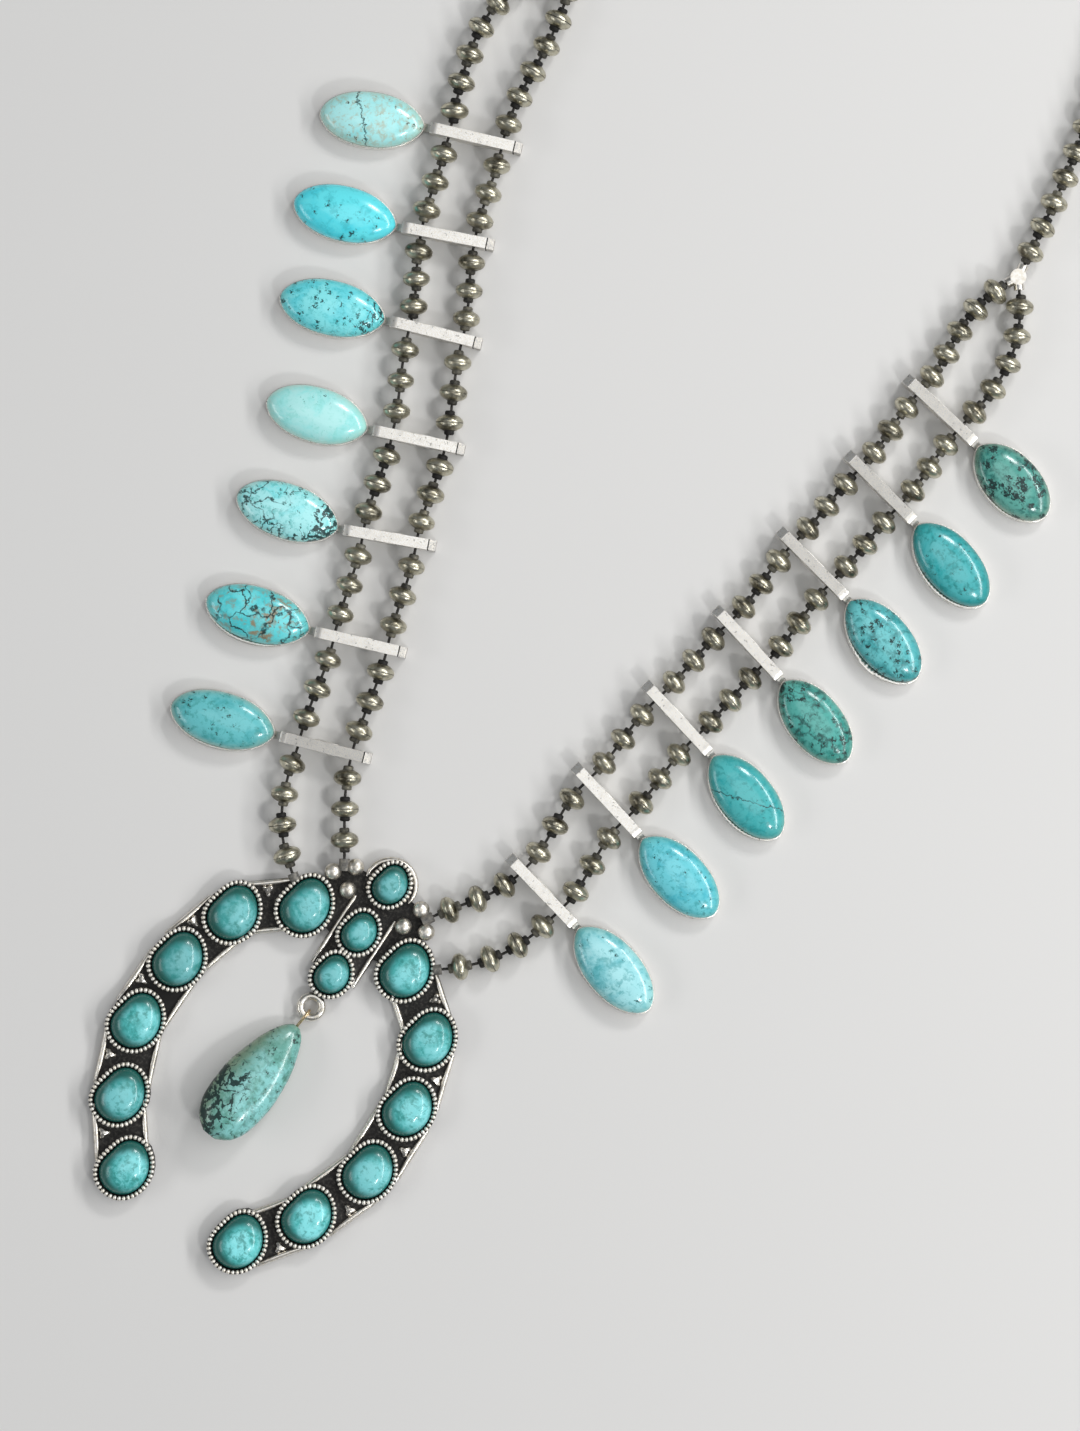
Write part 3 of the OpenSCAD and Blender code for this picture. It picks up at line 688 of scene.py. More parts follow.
def silver_group():
    """Antiqued silver: bright where it is rubbed, black in the recesses, with scuffs. Its mask also
    carries painted shade and light on some pieces.
    """
    net, given = new_group("aged_silver", {
        "Bright": (0.88, 0.86, 0.82, 1), "Tarnish": (0.012, 0.011, 0.010, 1), "Blackening": 0.0,
        "Stain": 0.3, "Stain tone": (0.10, 0.085, 0.055, 1), "Scuffs": 0.3, "Gloss": 0.25,
        "Scale": 1.0,
    })
    at = net.place().scaled(given["Scale"])
    fine = net.noise(at, 1500, 4, 0.65)
    stains = net.noise(at, 260, 4, 0.6).ramp(0.45, 0.72) * given["Stain"]
    black = ((fine - 0.5) * 0.35 + given["Blackening"]).ramp(0.25, 0.75)
    pits = net.noise(at, 620, 2, 0.5).ramp(0.64, 0.69) * given["Scuffs"]
    warm = net.mix(fine.ramp(0.35, 0.65), (0.86, 0.82, 0.74, 1), (1, 1, 1, 1))
    colour = net.mix(1.0, given["Bright"], warm, "MULTIPLY")
    colour = net.mix(stains, colour, given["Stain tone"])
    colour = net.mix(pits * 0.55, colour, given["Tarnish"])
    colour = net.mix(black, colour, given["Tarnish"])
    drawn_out = {"Vector": at, "Rotation": (0, 0, 0.5), "Scale": (900, 6000, 900)}
    scratches = net.out(net.node("ShaderNodeMapping", drawn_out))
    scuff = net.noise(scratches, 1.0, 2, 0.5).ramp(0.55, 0.75) * given["Scuffs"]
    rough = given["Gloss"] + scuff * 0.25 + black * 0.35
    net.put_out(
        Color=colour,
        Metallic=black.ramp(0.0, 1.0, 1.0, 0.35),
        Roughness=rough.math("ADD", fine * 0.08, clamp=True),
        Height=scuff * -0.6 + fine * 0.5,
    )
    return net.tree


def turquoise_group():
    """Turquoise: soft clouds, patches, black veins, specks and matrix, with painted light: the
    clouds grow paler towards the top and the lit side, and the edge tone on the low, unlit flanks
    is painted shade where it is dark and a pale rind where it is pale.
    """
    net, given = new_group("turquoise_stone", {
        "Place": (0, 0, 0), "Rise": 1.0, "Gather": 0.0, "Base": (0.085, 0.43, 0.44, 1),
        "Pale": (0.17, 0.56, 0.58, 1), "Patch": (0.04, 0.2, 0.2, 1),
        "Edge": (0.02, 0.15, 0.13, 1), "Veins": 0.0, "Specks": 0.0, "Patches": 0.2,
        "Edges": 0.5, "Crack": 0.0, "Crack at": 8.0, "Crack slope": 0.5, "Softness": 0.0,
        "Scale": 1.0, "Offset": (0, 0, 0),
    })
    at = given["Place"].scaled(given["Scale"]).moved(given["Offset"])
    clouds = net.noise(at, 0.20, 4, 0.55, 0.6)
    mottle = net.noise(at, 0.95, 5, 0.62, 0.4)
    grain = net.noise(at, 3.4, 3, 0.6)
    wander = net.noise(at, 0.30, 5, 0.5, output="Color")
    bent = at.scaled(0.55).moved(wander.scaled(5.4))

    # Clouds and patches, paler towards the top and the lit side as painted light, and the edge tone
    # on the low flanks, painted shade where it is dark and a pale rind where it is pale
    clouds_and_light = (given["Rise"] - 0.55) * 0.22 + clouds
    colour = net.mix(clouds_and_light.ramp(0.42, 0.62), given["Base"], given["Pale"])
    colour = net.mix(mottle.ramp(0.50, 0.66, 0.0, 0.55), colour, given["Patch"])
    colour = net.mix(mottle.ramp(0.36, 0.50, 0.55, 0.0), colour, given["Pale"])
    colour = net.mix(grain.ramp(0.55, 0.75, 0.0, 0.16), colour, given["Patch"])
    patch = net.noise(at, 0.16, 5, 0.62, 1.0).ramp(0.50, 0.58) * given["Patches"]
    colour = net.mix(patch * mottle.ramp(0.42, 0.58, 0.15, 1.0), colour, given["Patch"])
    # Painted shade: the edge tone lies where the stone is low, and on the pendant's stones and the
    # drop also on the side away from the light
    rind_and_shade = ((mottle - 0.5) * 0.55 + given["Rise"]).ramp(0.15, 0.75, 1.0, 0.0)
    colour = net.mix(rind_and_shade * given["Edges"], colour, given["Edge"])

    # Thin veins that break off here and there
    vein = net.seams(bent, 0.36).ramp(0.018, 0.075, 1.0, 0.0)
    vein = vein * net.noise(at, 0.14, 3).ramp(0.36, 0.48) * mottle.ramp(0.30, 0.52, 0.45, 1.0)
    vein = vein * given["Veins"]

    # Specks of uneven size, each in a halo
    shaky = net.noise(at, 1.6, 4, 0.65, output="Color")
    spots = net.cells(at.moved(shaky.scaled(2.2)), 0.80)
    lot = net.node("ShaderNodeSeparateColor", {"Color": net.out(spots, "Color")})
    region = net.noise(at, 0.17, 2).ramp(0.36, 0.54, 0.30, 1.0)
    size = (net.out(lot) - 0.42) * 0.62 * region * given["Specks"]
    size = size * grain.ramp(0.36, 0.60, 0.25, 1.35)
    beyond = net.out(spots, "Distance") - size
    halo = beyond.ramp(0.0, 0.22, 0.6, 0.0) * size.ramp(0.02, 0.12)
    colour = net.mix(halo, colour, given["Patch"])
    specks = beyond.ramp(-0.06, 0.02, 1.0, 0.0) * size.ramp(0.02, 0.05)

    # Matrix like lace where it gathers
    thick = given["Gather"] * (mottle * 1.7 - 0.62)
    lace = (net.seams(bent, 0.62) - thick).ramp(-0.02, 0.02, 1.0, 0.0)
    lace = lace * given["Gather"].ramp(0.02, 0.20)

    # One crack across the stone
    axes = net.node("ShaderNodeSeparateXYZ", {"Vector": given["Place"]})
    course = (mottle - 0.5) * 3.2 + ((clouds - 0.5) * 3.0 + given["Crack at"])
    course = net.out(axes, "Y") * given["Crack slope"] + course
    split = (net.out(axes, "X") - course).math("ABSOLUTE").ramp(0.05, 0.30, 1.0, 0.0)
    split = split * given["Crack"] * grain.ramp(0.30, 0.48, 0.45, 1.0)

    black = vein.math("MAXIMUM", specks).math("MAXIMUM", lace.math("MAXIMUM", split), clamp=True)
    net.put_out(
        Color=net.mix(black * 0.93, colour, (0.004, 0.020, 0.020, 1)),
        Roughness=mottle * 0.14 + 0.15 + black * 0.2 + given["Softness"],
        Height=black * -0.8 + mottle * 0.5 + grain * 0.12,
        Polish=black * -0.40 + 0.42,
    )
    return net.tree


def new_material(name):
    material = bpy.data.materials.new(name)
    material.use_nodes = True
    return material, Net(material.node_tree), material.node_tree.nodes["Principled BSDF"]


def silver_material(name):
    """Antiqued silver with the finish of that name."""
    *marks, bump, bright, masked = SILVER_FINISHES[name]
    material, net, shader = new_material(name)
    values = dict(zip(("Stain", "Scuffs", "Gloss", "Scale"), marks))
    values["Bright"] = (*(bright or colours().silver[:3]), 1.0)
    values["Tarnish"] = colours().tarnish[:]
    if masked:
        values["Blackening"] = net.mark("blackening")
    tree = bpy.data.node_groups.get("aged_silver") or silver_group()
    silver = net.node("ShaderNodeGroup", values, node_tree=tree)
    net.lead(shader, silver, {
        "Base Color": "Color", "Metallic": "Metallic", "Roughness": "Roughness",
    })
    net.relief(shader, net.out(silver, "Height"), bump, 0.00006)
    return material


def turquoise_material(name, **look):
    """Turquoise with its own look, by the marks that the stone's mesh keeps."""
    material, net, shader = new_material(name)
    tree = bpy.data.node_groups.get("turquoise_stone") or turquoise_group()
    marks = {
        "Place": net.mark("stone_place", "Vector"), "Rise": net.mark("rise"),
        "Gather": net.mark("gather"),
    }
    stone = net.node("ShaderNodeGroup", marks, node_tree=tree)
    for label, value in look.items():
        socket = stone.inputs[label.replace("_", " ").capitalize()]
        socket.default_value = (*value[:3], 1) if socket.type == "RGBA" else value
    net.lead(shader, stone, {
        "Base Color": "Color", "Roughness": "Roughness", "Coat Weight": "Polish",
    })
    net.relief(shader, net.out(stone, "Height"), 0.35, 0.00010)
    shader.inputs["IOR"].default_value = 1.46
    shader.inputs["Coat Roughness"].default_value = 0.10
    return material


def thread_material():
    material, net, shader = new_material("dark_thread")
    fibre = net.noise(net.place(), 2600, 3, 0.6)
    tone = net.mix(fibre.ramp(0.35, 0.65), (0.010, 0.009, 0.008, 1), (0.050, 0.045, 0.040, 1))
    net.set(shader.inputs["Base Color"], tone)
    net.relief(shader, fibre, 0.6, 0.00006)
    shader.inputs["Roughness"].default_value = 0.85
    return material


def floor_material():
    material, net, shader = new_material("pale_floor")
    tone = colours().floor
    deeper = [c * 0.97 for c in tone[:3]] + [1.0]
    cloud = net.noise(net.place(), 6, 2, 0.5)
    net.set(shader.inputs["Base Color"], net.mix(cloud, tone[:], deeper))
    shader.inputs["Roughness"].default_value = 0.9
    shader.inputs["Specular IOR Level"].default_value = 0.15
    return material


def side_sign(side):
    return -1 if side == "left" else 1


def arm_place(side, i):
    across, down, _ = ARM_PLACES[i]
    return Vector((side_sign(side) * across * NAJA_HALF_W, -down * NAJA_DROP))


def arm_steps():
    """From each stone of the arms to the next: side, number, both places, the way along and
    the way out."""
    for side in SIDES:
        for i in range(len(ARM_PLACES) - 1):
            a, b = arm_place(side, i), arm_place(side, i + 1)
            way = (b - a).normalized()
            yield side, i, a, b, way, side_sign(side) * Vector((-way.y, way.x))


def naja_stones():
    """Node, x, y and mean radius of each stone on the pendant."""
    rows = [
        (f"arm_stone_{side}_{i + 1}", *arm_place(side, i), ARM_STONE_R)
        for side in SIDES for i in range(len(ARM_PLACES))
    ]
    for i, down in enumerate(CENTRE_PLACES):
        rows.append((f"centre_stone_{i + 1}", 0.0, -down * CENTRE_DROP, CENTRE_STONE_R))
    return rows


def blossom_matrix(side, i):
    """From a blossom stone's own millimetres to its place."""
    x, y, angle, turn, _ = BLOSSOMS[side][i]
    return (
        shift(x, y) @ turn_z(angle) @ shift(BAR_LEN / 2 + NECK_LEN, 0)
        @ turn_z(turn) @ shift(CUP_T + STONE_GAP, 0)
    )


def drop_matrix():
    """From the drop's own millimetres to its place, where it hangs from its pin and its side
    just clears the surface."""
    eye_r = LOOP_WIRE_D / 2 + 2 * END_GAP + PIN_WIRE_D / 2
    eye_z = eye_r + PIN_WIRE_D / 2 + BEAD_LIFT
    foot_y = (
        -CENTRE_DROP - CENTRE_STONE_R * nugget_share(-90)
        - CHANNEL - BEZEL_T - LOOP_D / 2 + SOLDER
    )
    eye_y = foot_y - (LOOP_D - LOOP_WIRE_D) / 2
    start = eye_r + PIN_WIRE_D / 2 + DROP_NECK
    tilt = -90.0
    for s, w in DROP_RINGS:
        along, half = start + s * DROP_LEN, w * DROP_T / 2
        dip = math.asin((eye_z - BEAD_LIFT) / math.hypot(along, half))
        tilt = max(tilt, math.degrees(math.atan2(half, along) - dip))
    return (
        shift(0, eye_y, eye_z) @ turn_z(-DROP_ASIDE)
        @ Matrix.Rotation(math.radians(-tilt), 4, "X")
        @ shift(0, -start, 0) @ Matrix.Rotation(math.radians(90), 4, "X")
    )


def bead_places(node):
    """Middle and axis of each bead of a string, read from its solid."""
    bm = bmesh.new()
    bm.from_mesh(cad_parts[node].data)
    bmesh.ops.remove_doubles(bm, verts=bm.verts, dist=MERGE)
    bm.verts.ensure_lookup_table()
    seen, places = set(), []
    for start in bm.verts:
        if start.index in seen:
            continue
        seen.add(start.index)
        island, stack = [], [start]
        while stack:
            v = stack.pop()
            island.append(v.co.copy())
            for e in v.link_edges:
                w = e.other_vert(v)
                if w.index not in seen:
                    seen.add(w.index)
                    stack.append(w)
        co = np.array(island)
        spread = np.cov((co - co.mean(0)).T)
        values, vectors = np.linalg.eigh(spread[:2, :2])
        k = int(np.argmax(abs(values - spread[2, 2])))
        places.append((Vector(co.mean(0)), Vector((*vectors[:, k], 0)).normalized()))
    bm.free()
    return places


def along_line(line, pitch, start=0.0):
    """Points at even distances along a closed line."""
    line = [*line, line[0]]
    along = [0.0]
    for a, b in zip(line, line[1:]):
        along.append(along[-1] + math.dist(a, b))
    count = round(along[-1] / pitch)
    for g in range(count):
        s = along[-1] * (g + start) / count
        yield tuple(float(np.interp(s, along, [p[axis] for p in line])) for axis in (0, 1))


def smooth_value(xs, ys, x):
    """A smooth curve through the table's points."""
    last = len(xs) - 1
    i = int(min(last - 1, max(0, np.searchsorted(xs, x) - 1)))
    h = xs[i + 1] - xs[i]
    t = (x - xs[i]) / h

    def slope(j):
        low, high = max(j - 1, 0), min(j + 1, last)
        return (ys[high] - ys[low]) / (xs[high] - xs[low])

    a, b = slope(i) * h, slope(i + 1) * h
    return (
        (2 * t ** 3 - 3 * t ** 2 + 1) * ys[i] + (t ** 3 - 2 * t ** 2 + t) * a
        + (-2 * t ** 3 + 3 * t ** 2) * ys[i + 1] + (t ** 3 - t ** 2) * b
    )


class NECKLACE_OT_pendant(bpy.types.Operator):
    """Make the silver of the pendant, with its blackened recesses, wires, balls and beaded rims"""

    bl_idname = "necklace.pendant"
    bl_label = "Pendant"

    def execute(self, context):
        naja = node_copy("naja", "naja_silver")
        stones = [(x, y, r) for _, x, y, r in naja_stones()]

        def black(face):
            c, up = face.center / MM, face.normal.z
            if 0.05 < c.z < BEZEL_H + 0.02:
                # In a bezel
                for x, y, r in stones:
                    dx, dy = c.x - x, c.y - y
                    rim = r * nugget_share(math.degrees(math.atan2(dy, dx)))
                    if math.hypot(dx, dy) - rim < CHANNEL + BEZEL_T + 0.06:
                        return 0.97
            if c.z < 0.05:
                return 0.30
            if c.z < PLATE_T + 0.05 and up > 0.9:
                return 0.72
            if c.z < PLATE_T and abs(up) < 0.2:
                return 0.55
            if c.y > -18 and math.hypot(c.x, c.y) > 7 and abs(c.x) > 6 and c.z < 4.2:
                # The tubes for the threads
                return 0.60
            return 0.12

        blacken_and_shade(naja, black)
        finish_piece(naja, silver_material("pendant_silver"))
        self.grains()
        self.wires()
        self.bezel_edges()
        self.balls()
        self.accents()
        return {"FINISHED"}

    def scatter(self, name, master, matrices, finish, slot, sway=None):
        """One smooth piece with a copy of the master at each place, each point swayed a bit."""
        piece = strewn(name, master, matrices)
        remove(master)
        if sway:
            for v in piece.data.vertices:
                v.co += sway(v.co) * MM
        activate(piece)
        bpy.ops.object.shade_smooth()
        finish_piece(piece, silver_material(finish))

    def grains(self):
        """The beaded rim on each bezel."""
        matrices = []
        for k, (_, x, y, r) in enumerate(naja_stones()):
            line = nugget(r, CHANNEL + 0.44 * BEZEL_T, 360)
            for px, py in along_line(line, sizes().grain_pitch / MM, 0.37 * (k % 3)):
                size = 1 + 0.10 * noise.noise(Vector((x + px, y + py, 0)) * 0.9)
                matrices.append(
                    shift(x + px, y + py, BEZEL_H + 0.03)
                    @ turn_z(math.degrees(math.atan2(py, px)))
                    @ Matrix.Diagonal((1.26 * size, 0.97 * size, 0.92 * size, 1))
                )
        grain = ball(sizes().grain_d / MM / 2, 8, 6)
        self.scatter("naja_beaded_rims", grain, matrices, "rim_silver", "bright_silver")

    def wires(self):
        """The round wires along the arms, beside the centre bar and over the top stone."""
        parts = []

        def straight(a, b, width, bow=0.0):
            """A wire with a slight bow aside and tapered ends."""
            way = (b - a).normalized()
            aside = Vector((-way.y, way.x))
            shares = [k / 8 for k in range(9)]
            path = [a + (b - a) * t + aside * bow * 4 * t * (1 - t) for t in shares]
            widths = [width * (0.45 + 0.55 * min(1.0, 5 * min(t, 1 - t) + 0.2)) for t in shares]
            parts.append(swept("rim_wire", path, widths, PLATE_T + 0.12, 10))

        for side, i, a, b, way, out in arm_steps():
            a, b = a + WIRE_SHORT * way, b - WIRE_SHORT * way
            bow = 0.10 * side_sign(side)
            for far, aside in ((RIM_OUT, -bow), (-RIM_IN * ARM_PLACES[i][2], bow)):
                straight(a + out * far, b + out * far, 1.08 * RIM_WIRE_D, aside)
        for x in (-RIM_CENTRE, RIM_CENTRE):
            top, foot = Vector((x, -0.26 * CENTRE_DROP)), Vector((x, -CENTRE_DROP))
            straight(top, foot, 1.04 * RIM_WIRE_D)
        reach = CENTRE_STONE_R + CHANNEL + BEZEL_T + 0.30
        shares = [k / 24 for k in range(25)]
        path = [Vector(on_circle(reach, -12 + 204 * t)) for t in shares]
        widths = [1.35 * (0.35 + 0.65 * math.sin(math.pi * t) ** 0.5) for t in shares]
        parts.append(swept("rim_wire", path, widths, PLATE_T + 0.70, 10))
        finish_piece(joined("naja_wires", parts), silver_material("wire_silver"))

    def bezel_edges(self):
        """The thin edge outside each beaded rim, black on the side away from the light."""
        steps, width = 56, 0.24
        stones, edges = [], []
        for _, x, y, r in naja_stones():
            stones.append(Vector((x, y)))
            line = [
                Vector((x + px, y + py))
                for px, py in nugget(r, CHANNEL + BEZEL_T - 0.13, steps)
            ]
            widths = [width] * (steps + 1)
            edges.append(swept("bezel_edge", [*line, line[0]], widths, BEZEL_H - 0.16, 6))
        edge = joined("naja_bezel_edges", edges)

        def black(face):
            c = (face.center / MM).to_2d()
            middle = min(stones, key=lambda q: (q - c).length)
            lit = (c - middle).normalized().dot(Vector((0.97, 0.24)))
            return 0.55 - 0.45 * share(lit + 0.25)

        blacken_and_shade(edge, black)
        finish_piece(edge, silver_material("edge_silver"))

    def balls(self):
        first = arm_place("right", 0)
        matrices = [
            shift(side_sign(side) * x * first.x, y * first.y, PLATE_T + BALL_SEAT * BALL_D)
            @ Matrix.Rotation(1.3 * k + 0.7 * side_sign(side), 4, "X")
            for side in SIDES for k, (x, y) in enumerate(BALL_PLACES)
        ]
        self.scatter(
            "naja_balls", ball(0.53 * BALL_D, 28, 18), matrices, "ball_silver", "silver",
            lambda co: Vector((0, 0, 0.05 * noise.noise(co * 1400))),
        )

    def accents(self):
        """The rough little clusters of granules between the bezels."""
        parts = []
        for away, turn, r in ((0, 0, 0.66), (0.72, 0, 0.52), (0.66, 122, 0.56), (0.70, 239, 0.50)):
            place = (*on_circle(away * ACCENT_R, turn), 0.06)
            parts.append(ball(r * ACCENT_R, 14, 9, place))
        matrices = []
        for _, _, a, b, _, out in arm_steps():
            at = (a + b) / 2 + out * (RIM_OUT - RIM_WIRE_D / 2 - ACCENT_R)
            turn = math.degrees(math.atan2(-out.y, -out.x))
            matrices.append(shift(at.x, at.y, PLATE_T) @ turn_z(turn))

        def rough(co):
            push = [noise.noise(co * 1300 + Vector((9.3 * n, 0, 0))) for n in (1, 2, 3)]
            return Vector(push) * 0.10 - Vector((0, 0, 0.04))

        self.scatter(
            "naja_accents", joined("accent", parts), matrices, "accent_silver", "silver",
            rough,
        )


class NECKLACE_OT_pendant_stones(bpy.types.Operator):
    """Make the cabochons of the pendant"""

    bl_idname = "necklace.pendant_stones"
    bl_label = "Pendant stones"

    def execute(self, context):
        main, pale = colours().turquoise, colours().pale_turquoise
        foot = PLATE_T + STONE_GAP
        masters = {
            r: drawn_up("cabochon", nugget(r, 0.16), (0, 0), dome_rings(CABOCHON_H, 2.5))
            for r in (ARM_STONE_R, CENTRE_STONE_R)
        }
        for k, (node, x, y, r) in enumerate(naja_stones()):
            stone = placed(masters[r], shift(x, y, foot), f"{node}_cabochon")
            for v in stone.data.vertices:
                height = v.co.z / MM - foot
                swell = noise.noise(v.co * 150) * 0.22 + noise.noise(v.co * 330) * 0.07
                if height > 0.6:
                    v.co.z += (swell - 0.1) * MM * min(1, (height - 0.6) / 1.5)
            # Painted light: the mark grows towards the top and towards the light, so the clouds
            # grow paler there, and the dark green edge tone on the low flank away from the light is
            # painted shade
            mark_stone(
                stone, shift(-x, -y, -foot),
                lambda p: 1.05 - (p.to_2d().length / r) ** 2 + 0.40 * (0.99 * p.x + 0.11 * p.y) / r,
            )
            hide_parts(node)
            material = turquoise_material(
                f"pendant_turquoise_{k + 1}", base=[PENDANT_TONES[k] * v for v in main],
                pale=[PENDANT_TONES[k] * v for v in pale], patch=(0.020, 0.230, 0.205),
                edge=(0.010, 0.100, 0.080), patches=0.50, edges=0.92, softness=0.13,
                offset=(7.3 * k, 3.1 * k, 1.7 * k),
            )
            finish_piece(stone, material)
        for master in masters.values():
            remove(master)
        return {"FINISHED"}


class NECKLACE_OT_drop(bpy.types.Operator):
    """Make the pear-shaped drop and its pin"""

    bl_idname = "necklace.drop"
    bl_label = "Drop"

    def execute(self, context):
        half_w, half_t = DROP_W / 2, DROP_T / 2
        at, widths = np.array(DROP_RINGS).T
        rings = [(0.0, widths[0])]
        for s in ((1 - np.cos(np.linspace(0, math.pi, 26))) / 2)[1:]:
            rings.append((s * DROP_LEN, smooth_value(at, widths, s)))
        rings.append((DROP_LEN * 1.001, 0.03))
        drop = drawn_up("drop_cabochon", oval(half_w, half_t, 40), (0, 0), rings)
        for v in drop.data.vertices:
            swell = 0.988 + 0.03 * noise.noise(v.co * 170) + 0.012 * noise.noise(v.co * 420)
            v.co.x *= min(1.0, swell)
            v.co.y *= min(1.0, swell)
        drop.data.transform(drop_matrix())
        along_x = Matrix(((0, 0, 1, 0), (1, 0, 0, 0), (0, 1, 0, 0), (0, 0, 0, 1)))
        # Painted light: the mark grows towards the top and towards one side, so the clouds grow
        # paler there, and the olive edge tone on the low, far side is painted shade
        mark_stone(
            drop,
            along_x @ drop_matrix().inverted(),
            lambda p: 0.38 + 0.36 * p.z / half_t + 0.36 * p.y / half_w,
            lambda p: min(0.85, (p.x / DROP_LEN - 0.36) / 0.46 * (0.34 - 0.95 * p.y / half_w)),
        )
        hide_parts("drop_stone")
        material = turquoise_material(
            "drop_turquoise", base=(0.150, 0.420, 0.360), pale=(0.270, 0.640, 0.620),
            patch=(0.070, 0.220, 0.170), edge=(0.200, 0.250, 0.150), veins=0.3, specks=0.8,
            patches=0.40, edges=0.85, offset=(150, 11, 4),
        )
        finish_piece(drop, material)
        finish_piece(node_copy("drop_pin", "drop_pin_wire"), silver_material("pin_wire"))
        return {"FINISHED"}


def ring_shares(length, widest):
    """A function that gives a ring at a height, with its margin round the blossom stone's
    outline, as shares of the outline with the widest margin."""
    half_l, half_w = length / 2, BLOSSOM_W / 2

    def ring(z, margin):
        return z, (half_l + margin) / (half_l + widest), (half_w + margin) / (half_w + widest)

    return ring


def cup(name, length, lit, shown):
    """A blossom's cup in millimetres. Its lip is saw-toothed, and its wall is thicker towards
    the light, by the width shown."""
    steps = 144
    outer = CUP_T + STONE_GAP - 0.04
    ring = ring_shares(length, outer)
    wall = [
        ring(0.0, outer - 0.45), ring(0.10, outer - 0.18), ring(0.35, outer - 0.02),
        ring(1.65, outer), ring(2.05, outer - 0.04), ring(CUP_H - 0.02, outer - 0.12),
    ]
    inside = [ring(CUP_H - 0.04, 0.04), ring(CUP_H - 0.40, 0.05), ring(CUP_FLOOR, 0.06)]
    middle = (length / 2, 0)
    obj = drawn_up(name, blossom_outline(length, outer, steps), middle, wall + inside)
    for v in obj.data.vertices[: len(wall) * steps]:
        facing = (v.co / MM - Vector((*middle, v.co.z / MM))).normalized().dot(lit)
        v.co += lit * shown * MM * max(0.0, facing) ** 1.3
    lip = np.array(blossom_outline(length, 0.1, steps))
    for v in obj.data.vertices:
        if v.co.z > (CUP_H - 0.1) * MM:
            k = int(np.argmin(np.hypot(lip[:, 0] - v.co.x / MM, lip[:, 1] - v.co.y / MM)))
            if k % 2:
                v.co.z -= 0.30 * MM
    return obj


def blossom_rings(length):
    """Rings of a blossom stone: a foot that fits the cup, a girdle over its lip and a round top."""
    ring = ring_shares(length, LIP_COVER)
    girdle = CUP_H - CUP_FLOOR - STONE_GAP + 0.12
    rings = [
        ring(0, -0.20), ring(0.25, 0.0), ring(girdle - 0.10, 0.02),
        ring(girdle, LIP_COVER - 0.12), ring(girdle + 0.12, LIP_COVER - 0.02),
    ]
    low, power = girdle + 0.05, 2 / 2.15
    for k in range(15):
        t = math.radians(8 + 81 * k / 14)
        rings.append((low + (BLOSSOM_H - low) * math.sin(t) ** power, math.cos(t) ** power))
    return rings


